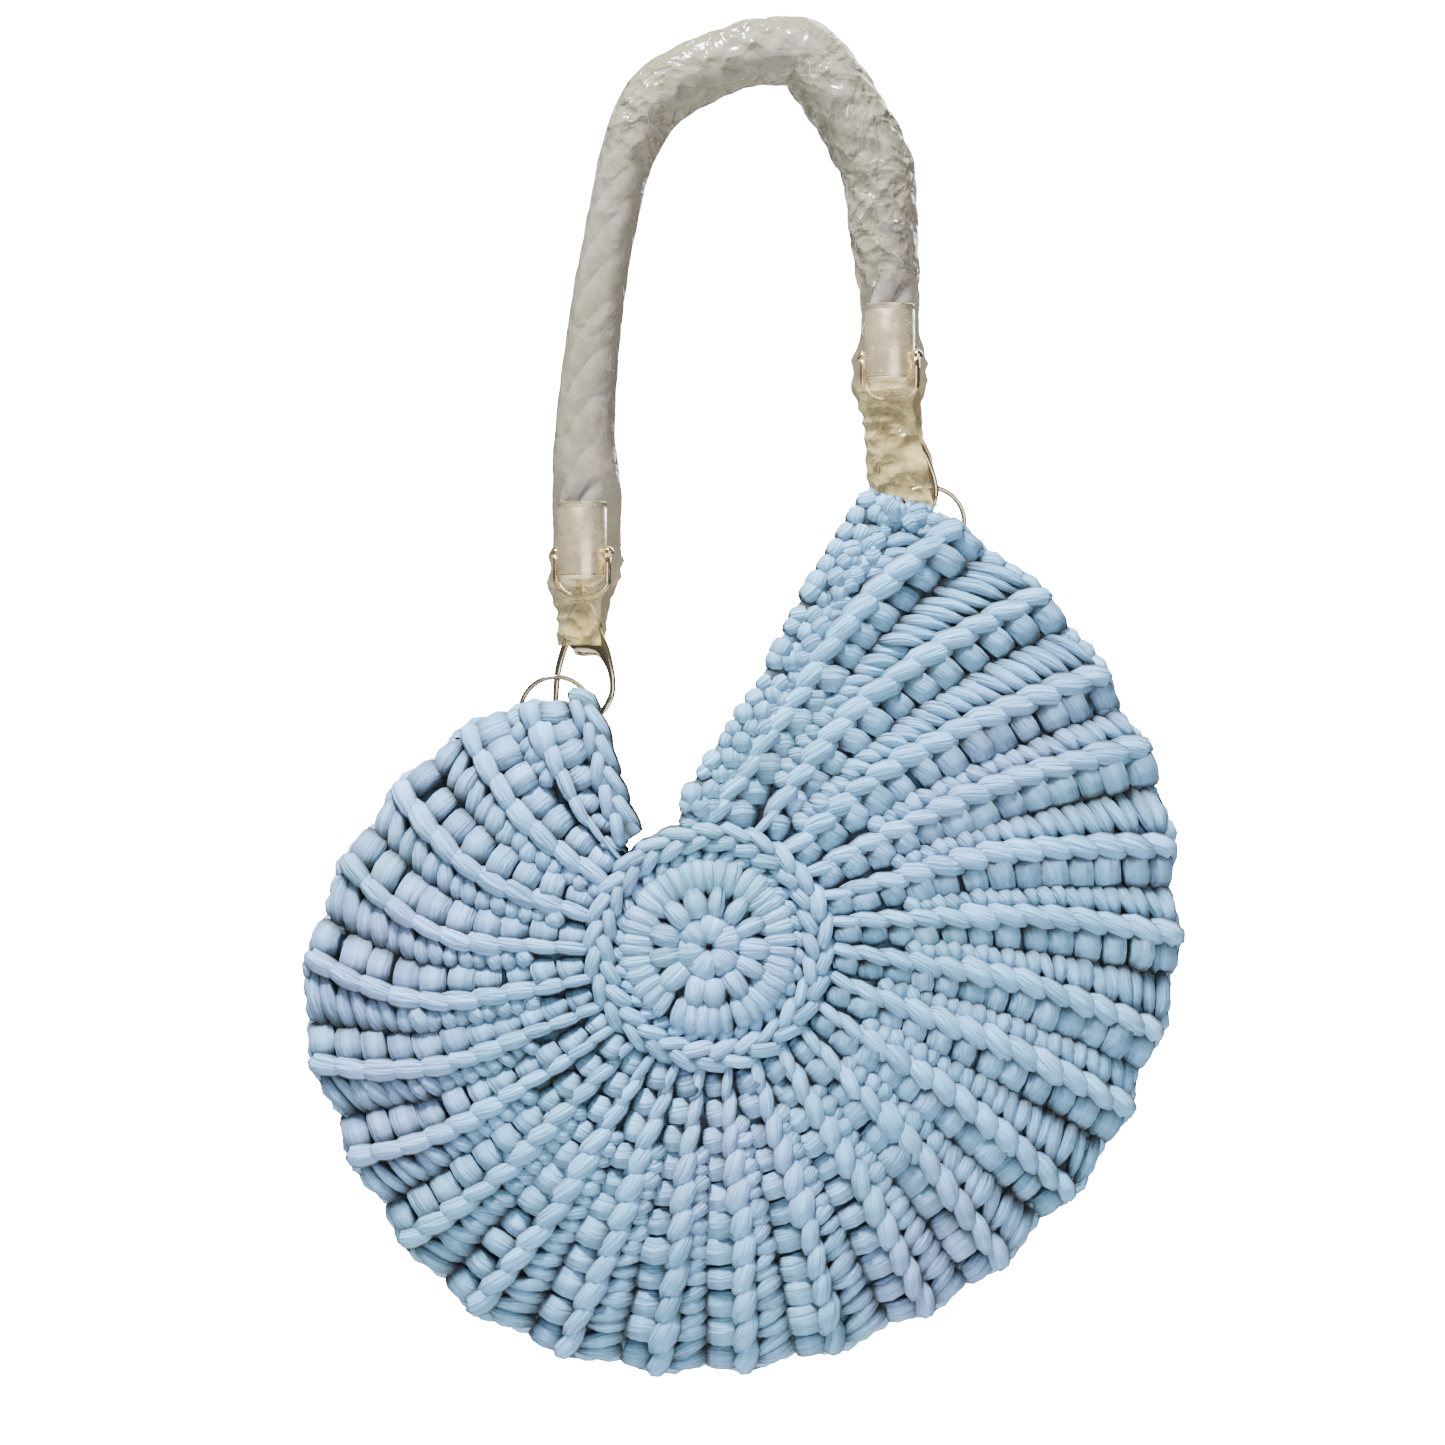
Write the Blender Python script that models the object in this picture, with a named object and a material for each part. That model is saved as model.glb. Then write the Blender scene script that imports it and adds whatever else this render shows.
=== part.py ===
"""Shell-shaped crochet shoulder bag with a rope handle on two snap hooks.

The bag hangs by its handle.  The origin is the underside of the handle where it hangs,
+Z is up, +X is to the right of the front panel and the front faces -Y.  Lengths are metres.
"""

import math
from collections import namedtuple

import bmesh
import bpy
from mathutils import Matrix, Vector
from mathutils.bvhtree import BVHTree

# Body of the bag
HANG_TO_ROSETTE = 0.380
ROSETTE_OFFSET = -0.025
BODY_RADIUS = 0.2138
WALL = 0.006
RIB_HEIGHT = 0.0048
RIB_START = 0.35
RIM_ROUNDING = 0.4
SCALLOP = 0.0045
INSIDE_HALF_DEPTH = 0.016
DOME_FULLNESS = 0.8
PEAK_HALF_GAP = 0.0085
RIGHT_PEAK_SPREAD = 24.0
LEFT_PEAK_SPREAD = 30.0
SEAM_GAP = 0.0003
CLEARANCE = 0.0003

# Rosette and the braid round it
ROSETTE_RADIUS = 0.0420
ROSETTE_THICKNESS = 0.0068
PETAL_HEIGHT = 0.0022
PETALS = 12
PUFFS = 6
RING_BRAID_WIDTH = 0.0120
RING_BRAID_DEPTH = 0.0104
RING_BRAID_LOBES = 16

# Braided edging of the mouth
EDGING_WIDTH = 0.0116
EDGING_DEPTH = 0.0104
EDGING_LINK = 0.0125
LOBE_DIP = 0.0007
EDGING_TAPER = 0.45
EDGING_SEAT = 0.62

# Rings sewn into the two peaks
O_RING_RADIUS = 0.0158
O_RING_WIRE = 0.0022
TIE_DIAMETER = 0.0060

# Snap hooks
HOOK_LENGTH = 0.0528
HOOK_WIDTH = 0.0325
HOOK_WIRE = 0.0028
HEAD_WIDTH = 0.0190
HEAD_THICKNESS = 0.0066
HEAD_TOP_SHARE = 0.42
GATE_THICKNESS = 0.0026
GATE_WIDTH = 0.0030
GATE_EYE = 0.0052
PIN_DIAMETER = 0.0018
STEM_DIAMETER = 0.0036
STEM_HEAD_DIAMETER = 0.0066
STEM_HEAD_HEIGHT = 0.0018
HOOK_YAW = math.radians(28)

# Stirrups and end caps
CAP_DIAMETER = 0.0220
CAP_TUBE = 0.0330
CAP_DOME = 0.0045
CAP_WALL = 0.0008
YOKE_WIDTH = 0.0040
YOKE_EYE_WIDTH = 0.0088
YOKE_THICKNESS = 0.0030
YOKE_RISE = 0.0120
YOKE_SAG_SHARE = 0.62
KNOB_SHARE = 0.62

# Handle
ROPE_DIAMETER = 0.0196
ROPE_STRANDS = 3
ROPE_TWIST = 0.062
STRAND_DIP = 0.0011
FILM = 0.0004
FILM_SLACK = 0.0054

# Mesh fineness
RIB_STEPS = 4
ROPE_SIDES = 12
ROPE_RINGS = 38
FILM_SIDES = 9
FILM_RINGS = 23
YOKE_BENDS = 8
O_RING_STEPS = 20
CAP_SIDES = 16

RibLine = namedtuple("RibLine", "ring_angle rim_angle rim_share bow")
# Valleys between the ribs, clockwise from straight up; the first and last are the peaks.
RIB_LINES = [
    RibLine(-24.0, 20.7, 1.000, 0.0),
    RibLine(20.0, 35.3, 0.996, 0.0),
    RibLine(34.0, 48.5, 0.990, 0.0),
    RibLine(51.0, 60.4, 0.975, 0.0),
    RibLine(64.0, 70.3, 0.979, 0.0),
    RibLine(76.5, 82.9, 0.957, 0.0),
    RibLine(88.5, 93.8, 0.957, 0.0),
    RibLine(101.0, 106.0, 0.922, 0.0),
    RibLine(115.0, 116.4, 0.916, 0.0),
    RibLine(129.0, 129.6, 0.885, 0.0),
    RibLine(142.0, 142.6, 0.880, 0.0),
    RibLine(156.0, 154.5, 0.862, 0.0),
    RibLine(169.0, 168.0, 0.864, 0.0),
    RibLine(182.0, 180.5, 0.867, 0.0),
    RibLine(194.0, 192.3, 0.879, 0.0),
    RibLine(206.0, 205.0, 0.885, 0.0),
    RibLine(217.0, 218.3, 0.881, 0.0),
    RibLine(228.0, 231.1, 0.858, 0.0),
    RibLine(239.0, 245.1, 0.838, -1.2),
    RibLine(252.0, 259.4, 0.842, -2.5),
    RibLine(266.0, 274.5, 0.794, -4.0),
    RibLine(280.0, 289.8, 0.735, -4.5),
    RibLine(296.0, 304.0, 0.686, -3.0),
    RibLine(314.0, 319.0, 0.634, -1.5),
    RibLine(332.0, 332.7, 0.591, 0.0),
]

PanelRow = namedtuple("PanelRow", "reach mouth_right mouth_left")
# Rows of the panel by their share of the way from the ring braid to the rim, with the angles
# of the two sides of the mouth there.
PANEL_ROWS = [
    PanelRow(0.000, -21.0, -30.0),
    PanelRow(0.160, -2.0, -30.3),
    PanelRow(0.400, 10.6, -28.0),
    PanelRow(0.660, 14.9, -25.2),
    PanelRow(0.860, 17.5, -24.8),
    PanelRow(0.955, 18.7, -25.5),
    PanelRow(1.000, 19.3, -26.0),
]

# Height of a rib over its width: valley, stitch side, crest cord, block column.
RIB_PROFILE = [0.0, 0.55, 1.0, 0.72]

Side = namedtuple("Side", "name ring_angle ring_sink claw_x claw_z claw_y tilt pitch tie_angle")
# How each hook sits in its ring; claw_x and claw_z are shares of the ring's radius.
SIDES = [
    Side("left", -33.5, 0.0075, 0.715, -0.25, -0.0010, -2.5, 5.7, 210.0),
    Side("right", 27.5, 0.0030, -0.56, -0.055, 0.0015, -9.0, 0.0, 155.0),
]

LegPoint = namedtuple("LegPoint", "across down")
# Route of the handle from the top to each cap: shares of the way across and down.
LEFT_LEG = [
    LegPoint(0.08, 0.002),
    LegPoint(0.357, 0.044),
    LegPoint(0.60, 0.108),
    LegPoint(0.746, 0.222),
    LegPoint(0.822, 0.349),
    LegPoint(0.908, 0.540),
    LegPoint(0.968, 0.749),
    LegPoint(0.989, 0.890),
]
RIGHT_LEG = [
    LegPoint(0.283, 0.005),
    LegPoint(0.492, 0.114),
    LegPoint(0.700, 0.269),
    LegPoint(0.865, 0.424),
    LegPoint(0.917, 0.515),
    LegPoint(0.950, 0.716),
    LegPoint(0.983, 0.883),
]

FilmPoint = namedtuple("FilmPoint", "along slack")
# How loosely the film lies round the rope along the handle, from left cap to right cap.
FILM_SLACKS = [
    FilmPoint(0.00, 0.36),
    FilmPoint(0.10, 0.55),
    FilmPoint(0.20, 0.28),
    FilmPoint(0.32, 0.10),
    FilmPoint(0.40, 0.16),
    FilmPoint(0.50, 0.72),
    FilmPoint(0.58, 0.60),
    FilmPoint(0.68, 0.95),
    FilmPoint(0.78, 1.00),
    FilmPoint(0.86, 0.86),
    FilmPoint(0.94, 0.42),
    FilmPoint(1.00, 0.26),
]
FILM_TOP_SHARE = 0.655


def clear_scene():
    for obj in list(bpy.context.scene.objects):
        bpy.data.objects.remove(obj, do_unlink=True)


def material(name, colour, roughness, metallic=0.0):
    found = bpy.data.materials.get(name)
    if found:
        return found
    made = bpy.data.materials.new(name)
    made.use_nodes = True
    shader = made.node_tree.nodes["Principled BSDF"]
    shader.inputs["Base Color"].default_value = (*colour, 1.0)
    shader.inputs["Roughness"].default_value = roughness
    shader.inputs["Metallic"].default_value = metallic
    return made


def yarn():
    return material("blue_yarn", (0.38, 0.53, 0.70), 0.85)


def rope_cotton():
    return material("rope_cotton", (0.55, 0.55, 0.60), 0.80)


def clear_film():
    return material("clear_film", (0.85, 0.86, 0.88), 0.25)


def pale_gold():
    return material("pale_gold", (0.72, 0.63, 0.45), 0.22, 1.0)


def smoothstep(low, high, value):
    share = min(1.0, max(0.0, (value - low) / (high - low)))
    return share * share * (3.0 - 2.0 * share)


def table_value(rows, key, value, at):
    """Straight-line value between the rows of a table sorted by its key column."""
    for low, high in zip(rows, rows[1:]):
        if at <= getattr(high, key) or high is rows[-1]:
            span = getattr(high, key) - getattr(low, key)
            share = (at - getattr(low, key)) / span
            return getattr(low, value) * (1.0 - share) + getattr(high, value) * share
    return getattr(rows[-1], value)


def place(name, bm, finish, matrix=None):
    """Closes the mesh's normals outwards and puts it in the scene as one named object."""
    bmesh.ops.recalc_face_normals(bm, faces=bm.faces)
    mesh = bpy.data.meshes.new(name)
    bm.to_mesh(mesh)
    bm.free()
    mesh.materials.append(finish)
    mesh.shade_smooth()
    mesh.set_sharp_from_angle(angle=math.radians(45))
    obj = bpy.data.objects.new(name, mesh)
    bpy.context.scene.collection.objects.link(obj)
    if matrix:
        obj.matrix_world = matrix
    return obj


def skin(rings, loop=False, bm=None):
    """One closed body through rings of equally many points, capped unless they loop."""
    bm = bm or bmesh.new()
    made = [[bm.verts.new(point) for point in ring] for ring in rings]
    pairs = list(zip(made, made[1:]))
    if loop:
        pairs.append((made[-1], made[0]))
    for low, high in pairs:
        for i in range(len(low)):
            j = (i + 1) % len(low)
            bm.faces.new((low[i], low[j], high[j], high[i]))
    if not loop:
        bm.faces.new(made[0][::-1])
        bm.faces.new(made[-1])
    return bm


def slab(outer, inner, wrap=False):
    """One closed wall between two grids of points, rows by columns, that may wrap round."""
    bm = bmesh.new()
    faces = [[[bm.verts.new(point) for point in row] for row in grid] for grid in (outer, inner)]
    columns = len(outer[0])
    steps = columns if wrap else columns - 1
    for grid in faces:
        for low, high in zip(grid, grid[1:]):
            for i in range(steps):
                j = (i + 1) % columns
                bm.faces.new((low[i], low[j], high[j], high[i]))
    for row in (0, -1):
        for i in range(steps):
            j = (i + 1) % columns
            out, back = faces[0][row], faces[1][row]
            bm.faces.new((out[i], out[j], back[j], back[i]))
    if not wrap:
        for column in (0, -1):
            for k in range(len(outer) - 1):
                out, back = faces[0], faces[1]
                bm.faces.new((out[k][column], out[k + 1][column], back[k + 1][column], back[k][column]))
    return bm


def smooth_curve(points, steps):
    """Catmull-Rom curve through the points, with the given number of steps a span."""
    ends = [points[0] * 2 - points[1], *points, points[-1] * 2 - points[-2]]
    curve = []
    for a, b, c, d in zip(ends, ends[1:], ends[2:], ends[3:]):
        for i in range(steps):
            t = i / steps
            curve.append(0.5 * (2 * b + (c - a) * t + (2 * a - 5 * b + 4 * c - d) * t * t
                                + (3 * b - 3 * c + d - a) * t ** 3))
    return [*curve, points[-1]]


def even_points(points, count):
    """The given number of points, evenly spaced along a chain of points."""
    lengths = [0.0]
    for a, b in zip(points, points[1:]):
        lengths.append(lengths[-1] + (b - a).length)
    spaced = []
    span = 0
    for i in range(count):
        at = lengths[-1] * i / (count - 1)
        while span < len(points) - 2 and lengths[span + 1] < at:
            span += 1
        share = (at - lengths[span]) / (lengths[span + 1] - lengths[span])
        spaced.append(points[span].lerp(points[span + 1], share))
    return spaced


def ellipse_ring(centre, across, deep, half_width, half_depth, sides, phase=0.5):
    ring = []
    for i in range(sides):
        turn = 2 * math.pi * (i + phase) / sides
        ring.append(centre + across * (half_width * math.cos(turn)) + deep * (half_depth * math.sin(turn)))
    return ring


def tangents(points):
    found = []
    for i in range(len(points)):
        low, high = points[max(0, i - 1)], points[min(len(points) - 1, i + 1)]
        found.append((high - low).normalized())
    return found


# Body of the bag

def rosette_centre():
    return Vector((ROSETTE_OFFSET, 0.0, -HANG_TO_ROSETTE))


def ring_outer():
    return ROSETTE_RADIUS + RING_BRAID_WIDTH + CLEARANCE


def panel_start():
    return ring_outer() + CLEARANCE


def polar(angle, radius, depth=0.0):
    """A point of the front, by its angle clockwise from up and its distance from the rosette."""
    turn = math.radians(angle)
    return rosette_centre() + Vector((radius * math.sin(turn), depth, radius * math.cos(turn)))


def rim_value(column, angle):
    """A column of the rib table at a rim angle."""
    return table_value(RIB_LINES, "rim_angle", column, angle)


def rim_radius(angle):
    return BODY_RADIUS * rim_value("rim_share", angle)


def rim_half_gap(angle):
    """Half the gap between the panels at the rim: a seam, opening round the ring at each peak."""
    first, last = RIB_LINES[0].rim_angle, RIB_LINES[-1].rim_angle
    right = 1.0 - smoothstep(first, first + RIGHT_PEAK_SPREAD, angle)
    left = smoothstep(last - LEFT_PEAK_SPREAD, last, angle)
    return SEAM_GAP / 2 + PEAK_HALF_GAP * max(right, left)


def inside_half_gap(angle, reach):
    """Half the hollow's depth at a rim angle and a share of the way from the braid to the rim."""
    rim = rim_half_gap(angle)
    flat_from = PANEL_ROWS[-2].reach
    dome = max(0.0, 1.0 - (reach / flat_from) ** 2) ** DOME_FULLNESS
    return rim + (INSIDE_HALF_DEPTH - rim) * dome


def peak_radius(side_name):
    """Distance of the right or left peak from the rosette's middle."""
    return BODY_RADIUS * (RIB_LINES[0] if side_name == "right" else RIB_LINES[-1]).rim_share


def mouth_curve(side_name, inset):
    """A side of the V as points in the bag's plane, moved into the cloth by the inset."""
    start = ring_outer()
    column = "mouth_" + side_name
    points = [polar(getattr(row, column), start + (peak_radius(side_name) - start) * row.reach)
              for row in PANEL_ROWS]
    into_cloth = 1.0 if side_name == "right" else -1.0
    moved = []
    for i, (point, way) in enumerate(zip(points, tangents(points))):
        across = Vector((way.z, 0.0, -way.x)) * into_cloth
        beside = points[i + 1] if i == 0 else points[i - 1]
        mitre = abs((point - beside).normalized().dot(way))
        moved.append(point + across * (inset / mitre))
    return moved


def edge_points(side_name):
    """The panel's own edge along a side of the mouth: (angle, radius) for each of its rows."""
    centre = rosette_centre()
    offsets = [point - centre for point in mouth_curve(side_name, EDGING_WIDTH + CLEARANCE)]
    low, high = offsets[0], offsets[1]
    share = 0.0
    while low.lerp(high, share).length < panel_start() and share < 1.0:
        share += 0.01
    offsets[0] = low.lerp(high, share).normalized() * panel_start()
    return [(math.degrees(math.atan2(at.x, at.z)), at.length) for at in offsets]


def line_angle(line, reach):
    """Where a valley lies at a share of the way from the braid to the rim."""
    straight = line.ring_angle + (line.rim_angle - line.ring_angle) * reach
    return straight + line.bow * math.sin(math.pi * reach)


def panel_grids():
    """The outer and inner points of the front panel, rows from the braid out to the rim."""
    right, left = edge_points("right"), edge_points("left")
    outer, inner = [], []
    for row, (reach, _, _) in enumerate(PANEL_ROWS):
        at_rim = row == len(PANEL_ROWS) - 1
        outer_row, inner_row = [], []
        for rib, (low, high) in enumerate(zip(RIB_LINES, RIB_LINES[1:])):
            final = rib == len(RIB_LINES) - 2
            for step in range(RIB_STEPS + final):
                share = step / RIB_STEPS
                rim_angle = low.rim_angle + (high.rim_angle - low.rim_angle) * share
                height = RIB_PROFILE[step % RIB_STEPS]
                radius_at_rim = rim_radius(rim_angle) + SCALLOP * height
                radius = panel_start() + (radius_at_rim - panel_start()) * reach
                line_low = line_angle(low, reach)
                line_high = line_angle(high, reach)
                if rib == 0:
                    line_low = right[row][0]
                    radius += (right[row][1] - radius) * (1.0 - share) ** 2
                if final:
                    line_high = left[row][0] + 360.0
                    radius += (left[row][1] - radius) * share ** 2
                angle = line_low + (line_high - line_low) * share
                gap = inside_half_gap(rim_angle, reach)
                rise = WALL + RIB_HEIGHT * height * (RIB_START + (1.0 - RIB_START) * reach)
                if at_rim:
                    rise *= 1.0 - RIM_ROUNDING
                outer_row.append(polar(angle, radius, -(gap + rise)))
                inner_row.append(polar(angle, radius, -gap))
        outer.append(outer_row)
        inner.append(inner_row)
    return outer, inner


def mirror_depth(points):
    return [[Vector((p.x, -p.y, p.z)) for p in row] for row in points]


def panels():
    outer, inner = panel_grids()
    front = place("front_panel", slab(outer, inner), yarn())
    back = place("back_panel", slab(mirror_depth(outer), mirror_depth(inner)), yarn())
    return front, back


def rosette_rings():
    """Rings of the rosette from its middle over the front to the back."""
    columns = 2 * PETALS
    base = INSIDE_HALF_DEPTH
    top = base + ROSETTE_THICKNESS
    rows = [
        (0.07, top + PETAL_HEIGHT * 0.2, 0.0, 0.0),
        (0.20, top, PETAL_HEIGHT, 0.0),
        (0.34, top - PETAL_HEIGHT * 0.3, PETAL_HEIGHT * 0.5, 0.0),
        (0.42, top - PETAL_HEIGHT * 0.9, 0.0, 0.0),
        (0.66, top, 0.0, PETAL_HEIGHT),
        (0.90, top - PETAL_HEIGHT, 0.0, PETAL_HEIGHT),
        (1.00, base + RING_BRAID_DEPTH / 2, 0.0, 0.0),
        (0.96, base, 0.0, 0.0),
    ]
    rings = []
    for share, depth, puff, petal in rows:
        ring = []
        for i in range(columns):
            turn = 360.0 * i / columns
            rise = puff * (0.5 + 0.5 * math.cos(math.radians(turn * PUFFS)))
            rise += petal * (0.5 + 0.5 * math.cos(math.radians(turn * PETALS)))
            ring.append(polar(turn, ROSETTE_RADIUS * share, -(depth + rise)))
        rings.append(ring)
    return rings


def rosettes():
    rings = rosette_rings()
    place("front_rosette", skin(rings), yarn())
    place("back_rosette", skin(mirror_depth(rings)), yarn())


def braid_ring_rings():
    half_width, half_depth = RING_BRAID_WIDTH / 2, RING_BRAID_DEPTH / 2
    middle = ROSETTE_RADIUS + CLEARANCE + half_width
    columns = 2 * RING_BRAID_LOBES
    rings = []
    for i in range(columns):
        angle = 360.0 * i / columns
        dip = LOBE_DIP * (i % 2)
        out = (polar(angle, 1.0) - rosette_centre()).normalized()
        centre = polar(angle, middle, -(INSIDE_HALF_DEPTH + half_depth))
        rings.append(ellipse_ring(centre, out, Vector((0, -1, 0)), half_width - dip, half_depth - dip, 6, 0.0))
    return rings


def ring_braids():
    rings = braid_ring_rings()
    place("front_ring_braid", skin(rings, loop=True), yarn())
    place("back_ring_braid", skin(mirror_depth(rings), loop=True), yarn())


def edging_rings(side_name, peak):
    """The braided tube along one side of the mouth, from the ring braid up to the peak."""
    half_width, half_depth = EDGING_WIDTH / 2, EDGING_DEPTH / 2
    curve = mouth_curve(side_name, half_width)
    centre = rosette_centre()
    seat = ring_outer() + half_width * EDGING_SEAT + CLEARANCE
    share = 0.0
    while (curve[0].lerp(curve[1], share) - centre).length < seat and share < 1.0:
        share += 0.01
    curve[0] = curve[0].lerp(curve[1], share)
    length = sum((b - a).length for a, b in zip(curve, curve[1:]))
    links = max(3, round(length / EDGING_LINK))
    points = even_points(curve, 2 * links + 1)
    rings = []
    for i, (point, way) in enumerate(zip(points, tangents(points))):
        reach = ((point - centre).length - ring_outer()) / (peak_radius(side_name) - ring_outer())
        gap = inside_half_gap(peak.rim_angle, min(1.0, reach))
        dip = LOBE_DIP * (i % 2 == 0)
        if i in (0, len(points) - 1):
            dip = half_width * EDGING_TAPER
        across = Vector((way.z, 0.0, -way.x))
        middle = Vector((point.x, -(gap + half_depth), point.z))
        rings.append(ellipse_ring(middle, across, Vector((0, -1, 0)), half_width - dip, half_depth - dip, 6, 0.0))
    return rings


def edgings():
    for side, peak in (("right", RIB_LINES[0]), ("left", RIB_LINES[-1])):
        rings = edging_rings(side, peak)
        place("front_edging_" + side, skin(rings), yarn())
        place("back_edging_" + side, skin(mirror_depth(rings)), yarn())


# Rings in the peaks

def o_ring_centre(side):
    angle = side.ring_angle % 360.0
    return polar(side.ring_angle, rim_radius(angle) - side.ring_sink)


def o_ring(side):
    centre = o_ring_centre(side)
    rings = []
    for i in range(O_RING_STEPS):
        turn = 2 * math.pi * i / O_RING_STEPS
        out = Vector((math.cos(turn), 0.0, math.sin(turn)))
        rings.append(ellipse_ring(centre + out * O_RING_RADIUS, out, Vector((0, 1, 0)),
                                  O_RING_WIRE / 2, O_RING_WIRE / 2, 6))
    place("o_ring_" + side.name, skin(rings, loop=True), pale_gold())


def tie_centre(side):
    turn = math.radians(side.tie_angle)
    reach = O_RING_RADIUS - O_RING_WIRE / 2 - CLEARANCE - TIE_DIAMETER / 2
    return o_ring_centre(side) + Vector((math.sin(turn), 0.0, math.cos(turn))) * reach


def yarn_tie(side, front, back):
    """The seam stitch that runs through the ring from one panel's inner face to the other's."""
    centre = tie_centre(side)
    rings = []
    for panel, way in ((front, -1.0), (back, 1.0)):
        tree = BVHTree.FromPolygons([v.co for v in panel.data.vertices],
                                    [p.vertices for p in panel.data.polygons])
        ring = []
        for point in ellipse_ring(centre, Vector((1, 0, 0)), Vector((0, 0, 1)),
                                  TIE_DIAMETER / 2, TIE_DIAMETER / 2, 8):
            hit = tree.ray_cast(point, Vector((0, way, 0)))[0]
            ring.append(Vector((point.x, hit.y - way * CLEARANCE, point.z)))
        rings.append(ring)
    place("yarn_tie_" + side.name, skin(rings), yarn())


# Snap hooks

ClawPoint = namedtuple("ClawPoint", "across down half_width half_thickness")


def claw_points():
    """The hook's middle line from its swivel down the head and round to the nose."""
    half = HOOK_WIDTH / 2
    wire = HOOK_WIRE / 2
    head = HEAD_WIDTH / 2
    thick = HEAD_THICKNESS / 2
    return [
        ClawPoint(0.0, 0.0, head * HEAD_TOP_SHARE, thick * 0.85),
        ClawPoint(0.0, 0.07 * HOOK_LENGTH, head * 0.66, thick),
        ClawPoint(0.02 * half, 0.20 * HOOK_LENGTH, head, thick),
        ClawPoint(0.12 * half, 0.29 * HOOK_LENGTH, head, thick * 0.95),
        ClawPoint(0.62 * half, 0.40 * HOOK_LENGTH, head * 0.42, thick * 0.66),
        ClawPoint(0.87 * half, 0.54 * HOOK_LENGTH, wire * 1.35, wire * 1.1),
        ClawPoint(0.97 * half, 0.68 * HOOK_LENGTH, wire, wire),
        ClawPoint(0.93 * half, 0.80 * HOOK_LENGTH, wire, wire),
        ClawPoint(0.66 * half, 0.92 * HOOK_LENGTH, wire, wire),
        ClawPoint(0.14 * half, HOOK_LENGTH, wire, wire),
        ClawPoint(-0.42 * half, 0.962 * HOOK_LENGTH, wire, wire),
        ClawPoint(-0.80 * half, 0.86 * HOOK_LENGTH, wire * 0.9, wire * 0.9),
    ]


def pivot_point():
    """The gate's pin, in the hook's own frame."""
    return Vector((-0.40 * HOOK_WIDTH / 2, 0.0, -0.265 * HOOK_LENGTH))


def hook_frame(side):
    """The hook's frame: its origin is the top of its head, and it hangs down its own -Z."""
    turned = (Matrix.Rotation(math.radians(side.tilt), 4, "Y") @ Matrix.Rotation(-HOOK_YAW, 4, "Z")
              @ Matrix.Rotation(math.radians(-side.pitch), 4, "X"))
    bottom = o_ring_centre(side) + Vector((side.claw_x * O_RING_RADIUS, side.claw_y,
                                           side.claw_z * O_RING_RADIUS))
    top = bottom + turned @ Vector((0.0, 0.0, HOOK_LENGTH))
    return Matrix.Translation(top) @ turned


def lean(side, reach):
    """How far a point this far from the hook's axis rises as the hook leans in its stirrup."""
    axis = hook_frame(side).col[2].to_3d().normalized()
    return reach * math.sqrt(max(0.0, 1.0 - axis.z ** 2))


def stirrup_gap(side):
    """Height of the stirrup's underside over the middle of the hook's top."""
    return CLEARANCE + lean(side, HEAD_WIDTH * HEAD_TOP_SHARE / 2)


def stem_reach(side):
    """Height of the underside of the stem's head over the hook's top, clear of the bend."""
    bend_rise = yoke_sag() * (1.0 - math.cos(math.pi / YOKE_BENDS))
    return (stirrup_gap(side) + YOKE_THICKNESS + bend_rise + CLEARANCE
            + lean(side, STEM_HEAD_DIAMETER / 2))


def upright_frame(side):
    """The frame of the stirrup and cap: above the hook, upright and turned with it."""
    top = hook_frame(side).translation + Vector((0.0, 0.0, stirrup_gap(side)))
    return Matrix.Translation(top) @ Matrix.Rotation(-HOOK_YAW, 4, "Z")


def cylinder(radius, low, high, axis="Z", sides=12, at=Vector((0, 0, 0))):
    """A closed round bar along Z or Y, from low to high."""
    if axis == "Z":
        first, second, along = Vector((1, 0, 0)), Vector((0, 1, 0)), Vector((0, 0, 1))
    else:
        first, second, along = Vector((0, 0, 1)), Vector((1, 0, 0)), Vector((0, 1, 0))
    rings = [ellipse_ring(at + along * level, first, second, radius, radius, sides) for level in (low, high)]
    return skin(rings)


def box(low, high):
    bm = bmesh.new()
    bmesh.ops.create_cube(bm, size=1.0)
    size = high - low
    for vert in bm.verts:
        vert.co = low + Vector(((vert.co.x + 0.5) * size.x, (vert.co.y + 0.5) * size.y,
                                (vert.co.z + 0.5) * size.z))
    return bm


def cutter(name, bm, matrix):
    obj = place(name, bm, pale_gold(), matrix)
    obj.hide_render = True
    obj.display_type = "WIRE"
    return obj


def combine(obj, other, operation):
    modifier = obj.modifiers.new(operation.lower() + "_" + other.name, "BOOLEAN")
    modifier.operation = operation
    modifier.solver = "EXACT"
    modifier.object = other


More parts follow.
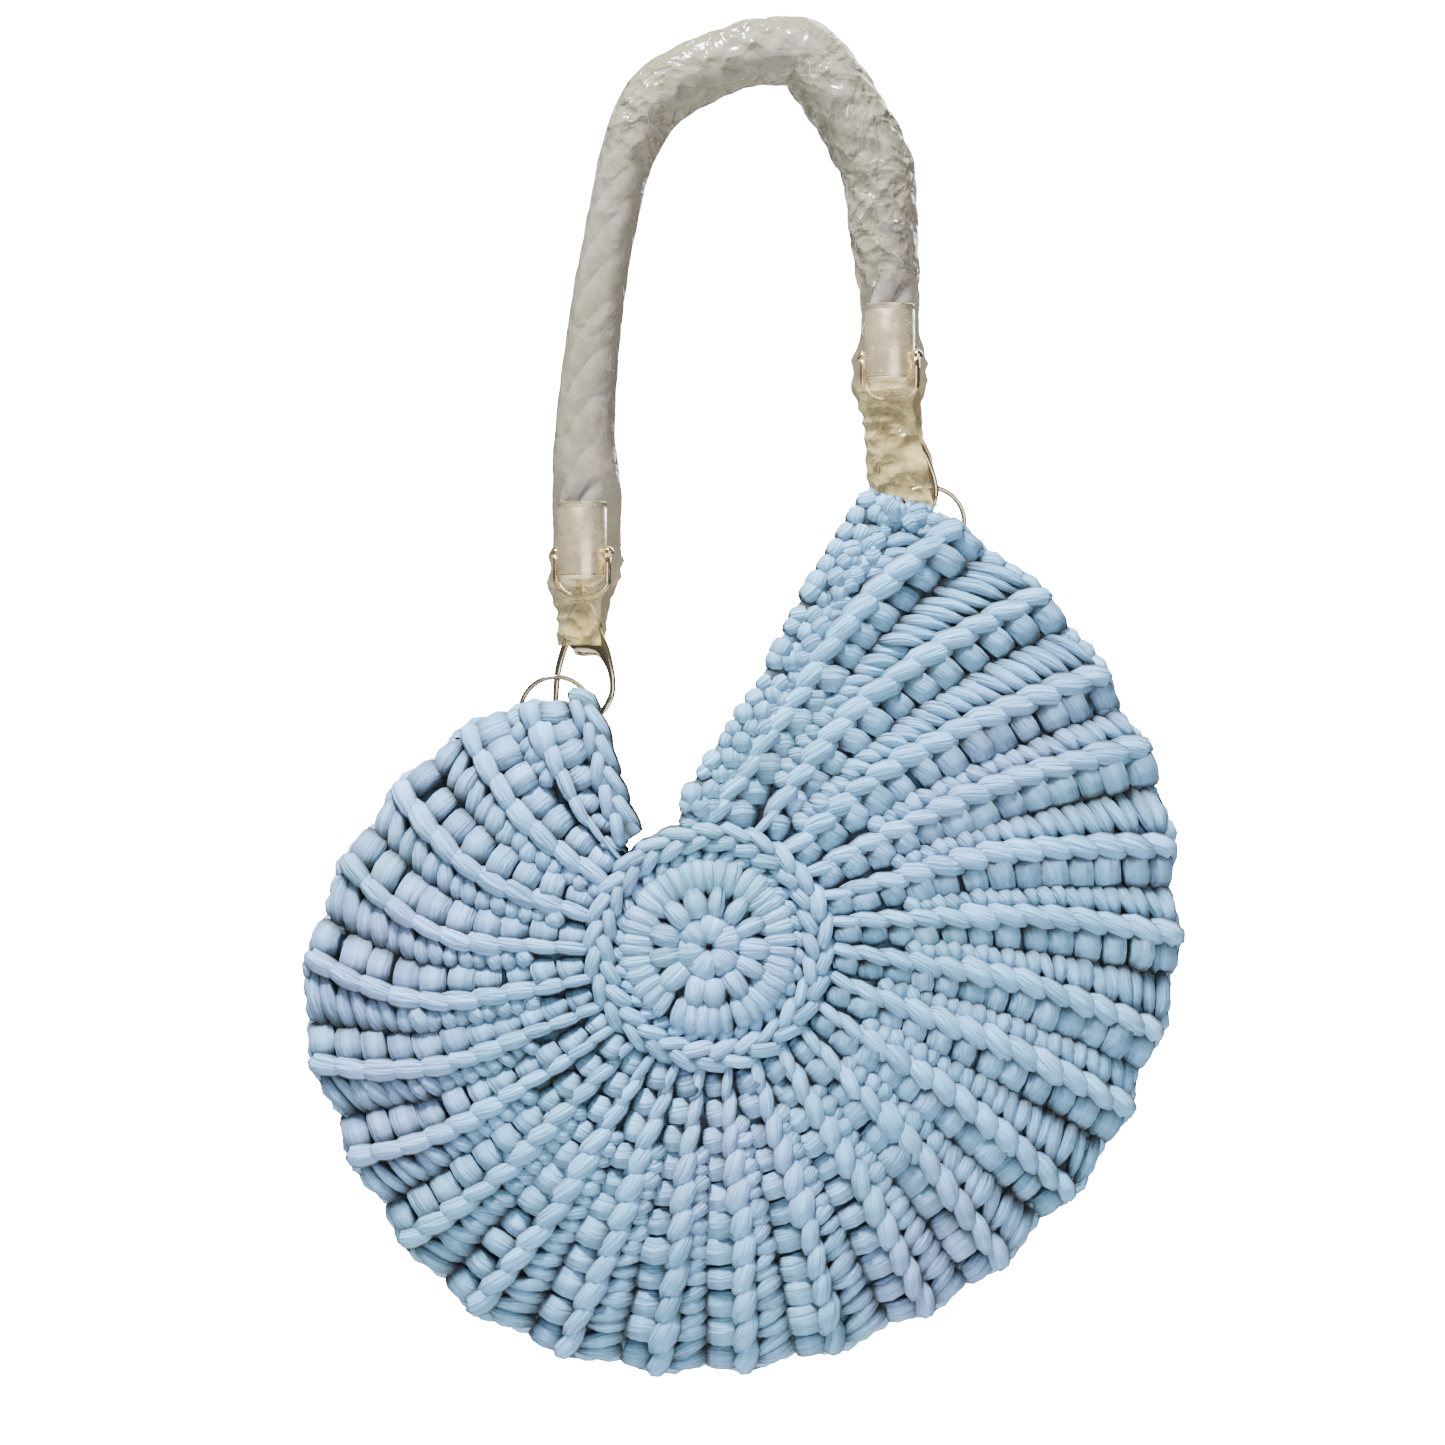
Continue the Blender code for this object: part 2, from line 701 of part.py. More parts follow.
def hook(side):
    frame = hook_frame(side)
    points = claw_points()
    line = [Vector((p.across, 0.0, -p.down)) for p in points]
    rings = []
    for point, way, row in zip(line, tangents(line), points):
        across = Vector((way.z, 0.0, -way.x)).normalized()
        rings.append(ellipse_ring(point, across, Vector((0, 1, 0)), row.half_width, row.half_thickness, 8))
    obj = place("hook_" + side.name, skin(rings), pale_gold(), frame)
    stem_low = -HEAD_THICKNESS / 2
    stem_high = stem_reach(side)
    stem = cutter("stem_" + side.name, cylinder(STEM_DIAMETER / 2, stem_low, stem_high + STEM_HEAD_HEIGHT / 2),
                  frame)
    combine(obj, stem, "UNION")
    button = cutter("stem_head_" + side.name,
                    cylinder(STEM_HEAD_DIAMETER / 2, stem_high, stem_high + STEM_HEAD_HEIGHT), frame)
    combine(obj, button, "UNION")
    pivot = pivot_point()
    reach = GATE_EYE / 2 + CLEARANCE
    slot_half = GATE_THICKNESS / 2 + CLEARANCE
    slot = cutter("gate_slot_" + side.name,
                  box(Vector((-HEAD_WIDTH, -slot_half, pivot.z - 3 * reach)),
                      Vector((pivot.x + reach * 1.05, slot_half, pivot.z + reach * 1.05))), frame)
    combine(obj, slot, "DIFFERENCE")
    bore = cutter("pin_bore_" + side.name,
                  cylinder(PIN_DIAMETER / 2 + CLEARANCE, -HEAD_THICKNESS, HEAD_THICKNESS, "Y", 10,
                           Vector((pivot.x, 0.0, pivot.z))), frame)
    combine(obj, bore, "DIFFERENCE")


def gate(side):
    """The sprung gate: an eye on the pin and a bar down to the claw's nose."""
    pivot = pivot_point()
    nose = claw_points()[-1]
    frame = hook_frame(side) @ Matrix.Translation(pivot)
    tip = Vector((nose.across - HOOK_WIRE * 0.12, 0.0, -(nose.down - HOOK_WIRE * 0.5 - 3 * CLEARANCE))) - pivot
    elbow = Vector((tip.x * 0.80, 0.0, tip.z * 0.52))
    half = GATE_THICKNESS / 2
    bar = []
    line = [Vector((-GATE_EYE * 0.1, 0.0, -GATE_EYE * 0.28)), elbow, tip]
    widths = [GATE_WIDTH * 0.62, GATE_WIDTH * 0.55, GATE_WIDTH * 0.42]
    for point, way, width in zip(line, tangents(line), widths):
        across = Vector((way.z, 0.0, -way.x)).normalized()
        bar.append([point + across * width + Vector((0, -half, 0)),
                    point + across * width + Vector((0, half, 0)),
                    point - across * width + Vector((0, half, 0)),
                    point - across * width + Vector((0, -half, 0))])
    obj = place("gate_" + side.name, skin(bar), pale_gold(), frame)
    eye = cutter("gate_eye_" + side.name, cylinder(GATE_EYE / 2, -half, half, "Y", 12), frame)
    combine(obj, eye, "UNION")
    bore = cutter("gate_bore_" + side.name,
                  cylinder(PIN_DIAMETER / 2 + CLEARANCE, -2 * half, 2 * half, "Y", 10), frame)
    combine(obj, bore, "DIFFERENCE")


def gate_pin(side):
    pivot = pivot_point()
    half = HEAD_THICKNESS / 2
    frame = hook_frame(side) @ Matrix.Translation(pivot)
    place("gate_pin_" + side.name, cylinder(PIN_DIAMETER / 2, -half, half, "Y", 10), pale_gold(), frame)


# Stirrups and caps

def yoke_radius():
    """Middle line of the stirrup's arms, clear of the cap."""
    return CAP_DIAMETER / 2 + 2 * CLEARANCE + YOKE_THICKNESS / 2


def cap_bottom(side):
    """Height of the cap's lowest point over the stirrup's underside."""
    return (stem_reach(side) - stirrup_gap(side) + STEM_HEAD_HEIGHT + CLEARANCE
            + lean(side, STEM_HEAD_DIAMETER / 2))


def knob_reach():
    return YOKE_WIDTH * KNOB_SHARE


def yoke_sag():
    """Depth of the stirrup's bend."""
    return yoke_radius() * YOKE_SAG_SHARE


def yoke_top():
    """Height of the top of the stirrup's knobs over its underside."""
    return YOKE_THICKNESS / 2 + yoke_sag() + YOKE_RISE + knob_reach()


def yoke(side):
    """A flat bar bent to a U under the cap, with a knob at each arm's end."""
    frame = upright_frame(side)
    radius = yoke_radius()
    half = YOKE_THICKNESS / 2
    sag = yoke_sag()
    line = []
    for i in range(YOKE_BENDS + 1):
        turn = math.pi * i / YOKE_BENDS
        line.append(Vector((-radius * math.cos(turn), 0.0, half + sag * (1.0 - math.sin(turn)))))
    knob_height = half + sag + YOKE_RISE
    line = [Vector((-radius, 0.0, knob_height)), *line, Vector((radius, 0.0, knob_height))]
    rings = []
    for point, way in zip(line, tangents(line)):
        across = Vector((way.z, 0.0, -way.x)).normalized()
        eye = 1.0 - smoothstep(0.0, STEM_HEAD_DIAMETER, abs(point.x) - STEM_DIAMETER / 2)
        half_width = (YOKE_WIDTH + (YOKE_EYE_WIDTH - YOKE_WIDTH) * eye) / 2
        rings.append(ellipse_ring(point, across, Vector((0, 1, 0)), half, half_width, 8))
    obj = place("yoke_" + side.name, skin(rings), pale_gold(), frame)
    bore = cutter("stem_bore_" + side.name,
                  cylinder(STEM_DIAMETER / 2 + CLEARANCE + lean(side, stem_reach(side)),
                           -YOKE_THICKNESS, 2 * YOKE_THICKNESS), frame)
    combine(obj, bore, "DIFFERENCE")
    for sign, end in ((-1, "a"), (1, "b")):
        rod = bmesh.new()
        rings = []
        reach = knob_reach()
        for share in (-0.35, 0.30, 0.75, 1.0):
            size = math.sqrt(max(0.05, 1.0 - max(0.0, share) ** 2))
            x = sign * (radius + share * reach)
            rings.append(ellipse_ring(Vector((x, 0.0, knob_height)), Vector((0, 1, 0)), Vector((0, 0, 1)),
                                      reach * size, reach * size, 8))
        knob = cutter("yoke_knob_" + side.name + end, skin(rings, bm=rod), frame)
        combine(obj, knob, "UNION")


def cap(side):
    """The turned cup that holds the rope's end."""
    frame = upright_frame(side)
    outer = CAP_DIAMETER / 2
    inner = outer - CAP_WALL
    low = cap_bottom(side)
    dome_top = low + CAP_DOME
    top = dome_top + CAP_TUBE
    profile = [
        (outer * 0.30, low),
        (outer * 0.72, low + CAP_DOME * 0.26),
        (outer * 0.94, low + CAP_DOME * 0.68),
        (outer, dome_top),
        (outer, top),
        (inner, top),
        (inner, dome_top),
        (inner * 0.30, dome_top),
    ]
    rings = []
    for radius, height in profile:
        rings.append(ellipse_ring(Vector((0, 0, height)), Vector((1, 0, 0)), Vector((0, 1, 0)),
                                  radius, radius, CAP_SIDES))
    place("cap_" + side.name, skin(rings), pale_gold(), frame)


def cap_mouth(side):
    return cap_bottom(side) + CAP_DOME + CAP_TUBE


def cap_point(side, height):
    return upright_frame(side) @ Vector((0.0, 0.0, height))


# Handle

def film_radius(along, in_cap):
    """Outer radius of the film at a share of the handle's length."""
    slack = table_value(FILM_SLACKS, "along", "slack", along)
    loose = ROPE_DIAMETER / 2 + CLEARANCE + FILM + FILM_SLACK * slack
    if in_cap:
        return max(loose, CAP_DIAMETER / 2 + 2 * CLEARANCE + FILM)
    return loose


def handle_route():
    """The rope's middle line from the left cap over the top to the right cap."""
    left, right = SIDES
    top = Vector((0.0, 0.0, film_radius(FILM_TOP_SHARE, False)))
    route = []
    for side, leg in ((left, LEFT_LEG), (right, RIGHT_LEG)):
        seat = cap_bottom(side) + CAP_DOME + CLEARANCE
        mouth = cap_mouth(side)
        end = cap_point(side, mouth)
        inside = [cap_point(side, seat), cap_point(side, (seat + mouth) / 2), end]
        points = []
        for row in leg:
            points.append(Vector((top.x + (end.x - top.x) * row.across, end.y * row.down,
                                  top.z + (end.z - top.z) * row.down)))
        route.append([*inside, *reversed(points)])
    return [*route[0], top, *reversed(route[1])]


def turned_frames(points):
    """Two directions square to the line at each point, carried along it without twist."""
    ways = tangents(points)
    across = Vector((1.0, 0.0, 0.0))
    frames = []
    for way in ways:
        across = (across - way * across.dot(way)).normalized()
        frames.append((across.copy(), way.cross(across)))
    return frames


def rope():
    points = even_points(smooth_curve(handle_route(), 8), ROPE_RINGS)
    length = sum((b - a).length for a, b in zip(points, points[1:]))
    rings = []
    for i, (point, (across, deep)) in enumerate(zip(points, turned_frames(points))):
        lay = 2 * math.pi * length * i / (ROPE_RINGS - 1) / ROPE_TWIST
        ring = []
        for k in range(ROPE_SIDES):
            turn = 2 * math.pi * k / ROPE_SIDES
            lobe = 0.5 + 0.5 * math.cos(ROPE_STRANDS * turn - lay)
            radius = ROPE_DIAMETER / 2 - STRAND_DIP * (1.0 - lobe)
            ring.append(point + across * (radius * math.cos(turn)) + deep * (radius * math.sin(turn)))
        rings.append(ring)
    place("strap_rope", skin(rings), rope_cotton())


def film():
    """The thin clear wrap round the rope and both caps, down to the stirrups."""
    route = handle_route()
    route[0], route[-1] = [cap_point(side, yoke_top() + CLEARANCE) for side in SIDES]
    points = even_points(smooth_curve([route[0], *route[2:-2], route[-1]], 8), FILM_RINGS)
    mouths = [cap_point(side, cap_mouth(side)).z for side in SIDES]
    outer, inner = [], []
    for i, (point, (across, deep)) in enumerate(zip(points, turned_frames(points))):
        along = i / (FILM_RINGS - 1)
        level = mouths[0] if along < 0.5 else mouths[1]
        in_cap = point.z < level + CAP_DIAMETER
        flats = math.cos(math.pi / FILM_SIDES)
        radius = film_radius(along, in_cap)
        for grid, size in ((outer, radius / flats), (inner, (radius - FILM) / flats)):
            grid.append([point + across * (size * math.cos(2 * math.pi * k / FILM_SIDES))
                         + deep * (size * math.sin(2 * math.pi * k / FILM_SIDES))
                         for k in range(FILM_SIDES)])
    place("strap_film", slab(outer, inner, wrap=True), clear_film())


def main():
    clear_scene()
    front, back = panels()
    rosettes()
    ring_braids()
    edgings()
    for side in SIDES:
        o_ring(side)
        yarn_tie(side, front, back)
        hook(side)
        gate(side)
        gate_pin(side)
        yoke(side)
        cap(side)
    rope()
    film()


main()
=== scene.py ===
"""Looks of the shell-shaped crochet bag: yarn stitches, wrapped rope handle and snap hooks.

The stitches are one modelled form, laid many times along the ribs, rings and edges of the bag.
Lengths are metres, +Z is up and the front faces -Y.
"""

import math
from collections import namedtuple

import bmesh
import bpy
import numpy as np
from bpy.props import FloatProperty, FloatVectorProperty, IntProperty, PointerProperty
from mathutils import Matrix, Vector


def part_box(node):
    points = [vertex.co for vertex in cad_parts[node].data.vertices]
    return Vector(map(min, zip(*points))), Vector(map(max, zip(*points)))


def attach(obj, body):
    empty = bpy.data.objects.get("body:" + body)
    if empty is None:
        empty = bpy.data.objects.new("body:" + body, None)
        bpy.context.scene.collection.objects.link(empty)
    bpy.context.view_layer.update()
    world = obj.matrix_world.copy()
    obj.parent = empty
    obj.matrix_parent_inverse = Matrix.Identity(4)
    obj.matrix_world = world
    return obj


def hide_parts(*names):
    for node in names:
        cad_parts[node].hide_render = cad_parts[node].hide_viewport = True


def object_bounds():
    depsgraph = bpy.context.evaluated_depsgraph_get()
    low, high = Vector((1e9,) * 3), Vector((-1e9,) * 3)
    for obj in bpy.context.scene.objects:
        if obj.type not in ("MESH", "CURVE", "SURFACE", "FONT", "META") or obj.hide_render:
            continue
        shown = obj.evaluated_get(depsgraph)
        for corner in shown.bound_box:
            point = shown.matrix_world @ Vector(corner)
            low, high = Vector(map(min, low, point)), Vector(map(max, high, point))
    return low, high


bl_info = {
    "name": "Crochet shell bag",
    "version": (1, 0, 0),
    "blender": (4, 5, 0),
    "location": "3D View > Sidebar > Bag",
    "description": "Builds a crocheted shell bag with a film-wrapped rope handle",
    "category": "Object",
}

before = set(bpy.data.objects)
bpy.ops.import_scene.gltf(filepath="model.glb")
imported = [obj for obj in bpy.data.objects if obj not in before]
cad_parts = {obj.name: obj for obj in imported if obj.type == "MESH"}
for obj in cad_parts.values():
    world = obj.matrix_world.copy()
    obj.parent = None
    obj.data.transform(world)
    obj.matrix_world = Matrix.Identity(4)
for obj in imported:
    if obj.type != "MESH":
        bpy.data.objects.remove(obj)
CAD_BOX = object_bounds()

# Sizes that the solids share
HANG_TO_ROSETTE = 0.380
ROSETTE_OFFSET = -0.025
BODY_RADIUS = 0.2138
WALL = 0.006
RIB_HEIGHT = 0.0048
SCALLOP = 0.0045
RIB_PROFILE = [0.0, 0.55, 1.0, 0.72, 0.0]
INSIDE_HALF_DEPTH = 0.016
DOME_FULLNESS = 0.8
PEAK_HALF_GAP = 0.0085
RIGHT_PEAK_SPREAD = 24.0
LEFT_PEAK_SPREAD = 30.0
SEAM_GAP = 0.0003
CLEARANCE = 0.0003
ROSETTE_RADIUS = 0.0420
ROSETTE_THICKNESS = 0.0068
RING_BRAID_WIDTH = 0.0120
RING_BRAID_DEPTH = 0.0104
EDGING_WIDTH = 0.0116
EDGING_DEPTH = 0.0104
O_RING_RADIUS = 0.0158
O_RING_WIRE = 0.0022
TIE_DIAMETER = 0.0060
HOOK_LENGTH = 0.0528
HOOK_WIDTH = 0.0325
HOOK_WIRE = 0.0028
HEAD_WIDTH = 0.0190
HEAD_THICKNESS = 0.0066
HEAD_TOP_SHARE = 0.42
GATE_THICKNESS = 0.0026
GATE_WIDTH = 0.0030
GATE_EYE = 0.0052
PIN_DIAMETER = 0.0018
STEM_DIAMETER = 0.0036
STEM_HEAD_DIAMETER = 0.0066
STEM_HEAD_HEIGHT = 0.0018
HOOK_YAW = math.radians(28)
CAP_DIAMETER = 0.0220
CAP_TUBE = 0.0330
CAP_DOME = 0.0045
CAP_WALL = 0.0008
YOKE_WIDTH = 0.0040
YOKE_EYE_WIDTH = 0.0088
YOKE_THICKNESS = 0.0030
YOKE_RISE = 0.0120
YOKE_BENDS = 8
ROPE_DIAMETER = 0.0196
ROPE_TWIST = 0.062
FILM = 0.0004
FILM_SLACK = 0.0054
FILM_TOP_SHARE = 0.655

RibLine = namedtuple("RibLine", "ring_angle rim_angle rim_share bow")
RIB_LINES = [
    RibLine(-24.0, 20.7, 1.000, 0.0),
    RibLine(20.0, 35.3, 0.996, 0.0),
    RibLine(34.0, 48.5, 0.990, 0.0),
    RibLine(51.0, 60.4, 0.975, 0.0),
    RibLine(64.0, 70.3, 0.979, 0.0),
    RibLine(76.5, 82.9, 0.957, 0.0),
    RibLine(88.5, 93.8, 0.957, 0.0),
    RibLine(101.0, 106.0, 0.922, 0.0),
    RibLine(115.0, 116.4, 0.916, 0.0),
    RibLine(129.0, 129.6, 0.885, 0.0),
    RibLine(142.0, 142.6, 0.880, 0.0),
    RibLine(156.0, 154.5, 0.862, 0.0),
    RibLine(169.0, 168.0, 0.864, 0.0),
    RibLine(182.0, 180.5, 0.867, 0.0),
    RibLine(194.0, 192.3, 0.879, 0.0),
    RibLine(206.0, 205.0, 0.885, 0.0),
    RibLine(217.0, 218.3, 0.881, 0.0),
    RibLine(228.0, 231.1, 0.858, 0.0),
    RibLine(239.0, 245.1, 0.838, -1.2),
    RibLine(252.0, 259.4, 0.842, -2.5),
    RibLine(266.0, 274.5, 0.794, -4.0),
    RibLine(280.0, 289.8, 0.735, -4.5),
    RibLine(296.0, 304.0, 0.686, -3.0),
    RibLine(314.0, 319.0, 0.634, -1.5),
    RibLine(332.0, 332.7, 0.591, 0.0),
]
PanelRow = namedtuple("PanelRow", "reach mouth_right mouth_left")
PANEL_ROWS = [
    PanelRow(0.000, -21.0, -30.0),
    PanelRow(0.160, -2.0, -30.3),
    PanelRow(0.400, 10.6, -28.0),
    PanelRow(0.660, 14.9, -25.2),
    PanelRow(0.860, 17.5, -24.8),
    PanelRow(0.955, 18.7, -25.5),
    PanelRow(1.000, 19.3, -26.0),
]
Side = namedtuple("Side", "name ring_angle ring_sink claw_x claw_z claw_y tilt pitch tie_angle")
SIDES = [
    Side("left", -33.5, 0.0075, 0.715, -0.25, -0.0010, -2.5, 5.7, 210.0),
    Side("right", 27.5, 0.0030, -0.56, -0.055, 0.0015, -9.0, 0.0, 155.0),
]
LEFT_LEG = [(0.08, 0.002), (0.357, 0.044), (0.60, 0.108), (0.746, 0.222), (0.822, 0.349),
            (0.908, 0.540), (0.968, 0.749), (0.989, 0.890)]
RIGHT_LEG = [(0.283, 0.005), (0.492, 0.114), (0.700, 0.269), (0.865, 0.424), (0.917, 0.515),
             (0.950, 0.716), (0.983, 0.883)]
FILM_SLACKS = [(0.00, 0.36), (0.10, 0.55), (0.20, 0.28), (0.32, 0.10), (0.40, 0.16), (0.50, 0.72),
               (0.58, 0.60), (0.68, 0.95), (0.78, 1.00), (0.86, 0.86), (0.94, 0.42), (1.00, 0.26)]
CRUMPLES = [(0.00, 0.50), (0.06, 0.30), (0.38, 0.35), (0.46, 1.00), (0.54, 0.80), (0.62, 0.50),
            (0.68, 0.70), (0.76, 1.00), (0.90, 1.00), (1.00, 0.80)]
FilmRow = namedtuple("FilmRow", "height half_width half_depth")
FILM_SKIRTS = {
    "left": [FilmRow(0.0340, 0.0130, 0.0128), FilmRow(0.0270, 0.0137, 0.0130),
             FilmRow(0.0200, 0.0152, 0.0130), FilmRow(0.0120, 0.0153, 0.0126),
             FilmRow(0.0050, 0.0146, 0.0110),
             FilmRow(0.0000, 0.0124, 0.0080), FilmRow(-0.0070, 0.0108, 0.0062),
             FilmRow(-0.0140, 0.0108, 0.0058), FilmRow(-0.0190, 0.0112, 0.0054)],
    "right": [FilmRow(0.0340, 0.0128, 0.0128), FilmRow(0.0270, 0.0136, 0.0130),
              FilmRow(0.0200, 0.0154, 0.0130), FilmRow(0.0120, 0.0160, 0.0126),
              FilmRow(0.0050, 0.0158, 0.0115),
              FilmRow(0.0000, 0.0136, 0.0085), FilmRow(-0.0080, 0.0130, 0.0070),
              FilmRow(-0.0160, 0.0138, 0.0065), FilmRow(-0.0260, 0.0150, 0.0065),
              FilmRow(-0.0400, 0.0150, 0.0058), FilmRow(-0.0445, 0.0146, 0.0056)],
}

FRONT = np.array((0.0, -1.0, 0.0))
BEHIND = np.array((0.0, 1.0, 0.0))
FACES = (("front", False), ("back", True))
QUARTERS = [0.0, 0.25, 0.5, 0.75, 1.0]

# Sizes, counts and shares of the looks alone
WALL_REACHES = [0.0, 0.08, 0.18, 0.3, 0.42, 0.54, 0.66, 0.78, 0.86, 0.92, 0.96, 0.985, 1.0]
BUMP_WIDTH = 0.0092
RIM_STITCH = 0.0094
RIM_HALF_WIDTH = 0.0040
PEAK_STRANDS = 5
PETALS = 13
ROSETTE_RIM_STITCHES = 34
END_POWER = 3.2
END_ROUNDING = 0.42
ROUND_SECTION = 2.7
BLOCK_SECTION = 5.0
LOOK_AHEAD = 0.03
MAP_SHIFT = 9.0
TONE_SPREAD = 0.16
RIB_TONE_SPREAD = 0.05
BLOCK_HALF_DEPTH = 0.0044
CORD_HALF_DEPTH = 0.0038
CORD_HALF_WIDTH = 0.0050
BLOCK_WOBBLE = 0.0005
CORD_WOBBLE = 0.0002
LEAF_WOBBLE = 0.0004
PEAK_WOBBLE = 0.0006
LINK_WOBBLE = 0.0003
LEAF_ROOT = 0.00294
# glow lists painted shade along a leaf, darker toward the chain and toward the valley.
Leaf = namedtuple("Leaf", "half deep skew tuck spread sink glow")
LEAF = Leaf(0.33, 0.0034, 0.34, 0.0017, (0.45, 1.05, 1.15), 0.50, (0.78, 0.94, 1.0, 0.88, 0.72))
BROAD_LEAF = Leaf(0.285, 0.0032, 0.70, 0.0024, (0.80, 1.05, 0.70), 0.35, (0.80, 0.96, 1.0, 0.94, 0.84))
STRAND_MAP = 60.0
ROUTE_STEPS = 400
ROPE_RINGS = 190
STRANDS = 3
STRAND_OFFSET = 1.13
FILM_RINGS = 380
FILM_SIDES = 40
FILM_SEED = 5
FILM_WAVES = 9
CAP_SLACK = 0.0022
FLAP_COLUMNS = 22
FLAP_ARC = (24.0, 156.0)
FLAP_CRUMPLE = 0.62
FINE_EDGE = 0.0003

# Camera and lights
PHOTO_SIDE = 1445.0
PHOTO_MIDDLE = 722.5
HANG_PIXEL = (766.0, 82.0)
SENSOR = 36.0
FILM_FRONT = 0.012
FLOOR_SIDE = 5.0
Lamp = namedtuple("Lamp", "name place width height power")
LAMPS = [
    Lamp("key", (-0.40, -0.62, 1.40), 0.36, 0.36, 158.0),
    Lamp("fill", (0.60, -1.65, -0.10), 1.4, 1.2, 13.0),
    Lamp("back", (0.5, 1.5, 0.6), 1.2, 1.2, 40.0),
]


# Settings

def colour_value(name, about, value):
    return FloatVectorProperty(name=name, description=about, default=value, subtype="COLOR",
                               min=0.0, max=1.0)


def length_value(name, about, value):
    return FloatProperty(name=name, description=about, default=value, precision=5, unit="LENGTH")


def share_value(name, about, value):
    return FloatProperty(name=name, description=about, default=value, subtype="FACTOR",
                         min=0.0, max=1.0)


def strength_value(name, about, value):
    return FloatProperty(name=name, description=about, default=value, min=0.0)


class YarnSettings(bpy.types.PropertyGroup):
    row_pitch: length_value("Row pitch", "Length of one row of stitches", 0.0117)
    block_width: length_value("Block width", "Width of the column of block stitches", 0.0128)
    cord_width: length_value("Cord width", "Width of the raised chain on each rib", 0.0098)
    unevenness: share_value("Unevenness", "How much hand-made stitches differ", 0.09)
    seed: IntProperty(name="Seed", description="Seed of the unevenness", default=11)
    sky: colour_value("Sky", "Main colour of the yarn", (0.24, 0.565, 0.93))
    lavender: colour_value("Lavender", "Violet tint of the yarn", (0.33, 0.525, 0.945))
    sea: colour_value("Sea", "Greenish tint of the yarn", (0.24, 0.58, 0.84))
    # Painted shade: the two colours below paint the sides of the stitches and the deep places between them.
    shade: colour_value("Shade", "Colour on the sides of the stitches", (0.135, 0.168, 0.188))
    crevice_shade: colour_value("Crevice", "Colour deep between stitches", (0.024, 0.036, 0.046))


class HandleSettings(bpy.types.PropertyGroup):
    rope_colour: colour_value("Rope", "Colour of the rope", (0.60, 0.58, 0.545))
    film_colour: colour_value("Film", "Tint of the clear film", (0.33, 0.315, 0.22))
    # Painted reflection: the colour of the gold plating, painted into the film over it.
    film_glint: colour_value("Glint", "Film over the plated parts", (0.66, 0.55, 0.26))
    film_haze: share_value("Film haze", "How milky the film is", 0.44)
    crinkle: length_value("Crinkle", "Height of the film's crinkles", 0.0011)


class HardwareSettings(bpy.types.PropertyGroup):
    gold: colour_value("Plating", "Colour of the plating", (0.96, 0.79, 0.50))
    roughness: share_value("Roughness", "Roughness of the plating", 0.11)
    cap_gold: colour_value("Cap plating", "Colour of the brushed caps", (1.0, 0.86, 0.60))
    cap_roughness: share_value("Cap roughness", "Roughness of the brushed caps", 0.28)


class StageSettings(bpy.types.PropertyGroup):
    backdrop: colour_value("Backdrop", "Colour of the floor and backdrop", (1.0, 1.0, 0.985))
    # Painted shade: the backdrop seen through the film is this dark beige.
    behind_film: colour_value("Behind film", "Backdrop seen through film", (0.36, 0.335, 0.25))
    glow: strength_value("Backdrop glow", "Brightness of the room behind the bag", 30.0)
    room_light: strength_value("Room light", "Light of the room from above", 0.15)
    low_light: strength_value("Low light", "Light of the room from below", 0.03)
    floor_drop: length_value("Floor drop", "From the bag down to the floor", 0.65)
    distance: length_value("Camera distance", "From the bag to the camera", 1.9)
    pixel: length_value("Pixel size", "Width of a picture element at the bag", 0.00044)


# Shape of the bag

def settings():
    return bpy.context.scene.shell_bag


def smoothstep(low, high, value):
    share = min(1.0, max(0.0, (value - low) / (high - low)))
    return share * share * (3.0 - 2.0 * share)


def mix(low, high, share):
    return low + (high - low) * share


def unit(vector):
    return vector / max(1e-9, np.linalg.norm(vector))


def rosette_centre():
    return np.array((ROSETTE_OFFSET, 0.0, -HANG_TO_ROSETTE))


def ring_outer():
    return ROSETTE_RADIUS + RING_BRAID_WIDTH + CLEARANCE


def panel_start():
    return ring_outer() + CLEARANCE


def from_rosette(point):
    return np.linalg.norm((point - rosette_centre()) * (1.0, 0.0, 1.0))


def polar(angle, radius, depth=0.0):
    turn = math.radians(angle)
    return rosette_centre() + np.array((radius * math.sin(turn), depth, radius * math.cos(turn)))


def rib_value(column, angle):
    angles = [line.rim_angle for line in RIB_LINES]
    return float(np.interp(angle, angles, [getattr(line, column) for line in RIB_LINES]))


def rim_radius(angle):
    return BODY_RADIUS * rib_value("rim_share", angle)


def rim_half_gap(angle):
    first, last = RIB_LINES[0].rim_angle, RIB_LINES[-1].rim_angle
    right = 1.0 - smoothstep(first, first + RIGHT_PEAK_SPREAD, angle)
    left = smoothstep(last - LEFT_PEAK_SPREAD, last, angle)
    return SEAM_GAP / 2 + PEAK_HALF_GAP * max(right, left)


def inside_half_gap(angle, reach):
    rim = rim_half_gap(angle)
    dome = max(0.0, 1.0 - (reach / PANEL_ROWS[-2].reach) ** 2) ** DOME_FULLNESS
    return rim + (INSIDE_HALF_DEPTH - rim) * dome


def peak_line(side_name):
    return RIB_LINES[0] if side_name == "right" else RIB_LINES[-1]


def mouth_curve(side_name, inset):
    """A side of the V in the bag's plane, moved into the cloth by the inset."""
    start = ring_outer()
    peak = BODY_RADIUS * peak_line(side_name).rim_share
    points = [polar(getattr(row, "mouth_" + side_name), mix(start, peak, row.reach))
              for row in PANEL_ROWS]
    into_cloth = 1.0 if side_name == "right" else -1.0
    moved = []
    for i, point in enumerate(points):
        way = unit(points[min(i + 1, len(points) - 1)] - points[max(i - 1, 0)])
        across = np.array((way[2], 0.0, -way[0])) * into_cloth
        beside = points[i + 1] if i == 0 else points[i - 1]
        mitre = abs(float(np.dot(unit(point - beside), way)))
        moved.append(point + across * (inset / mitre))
    return moved


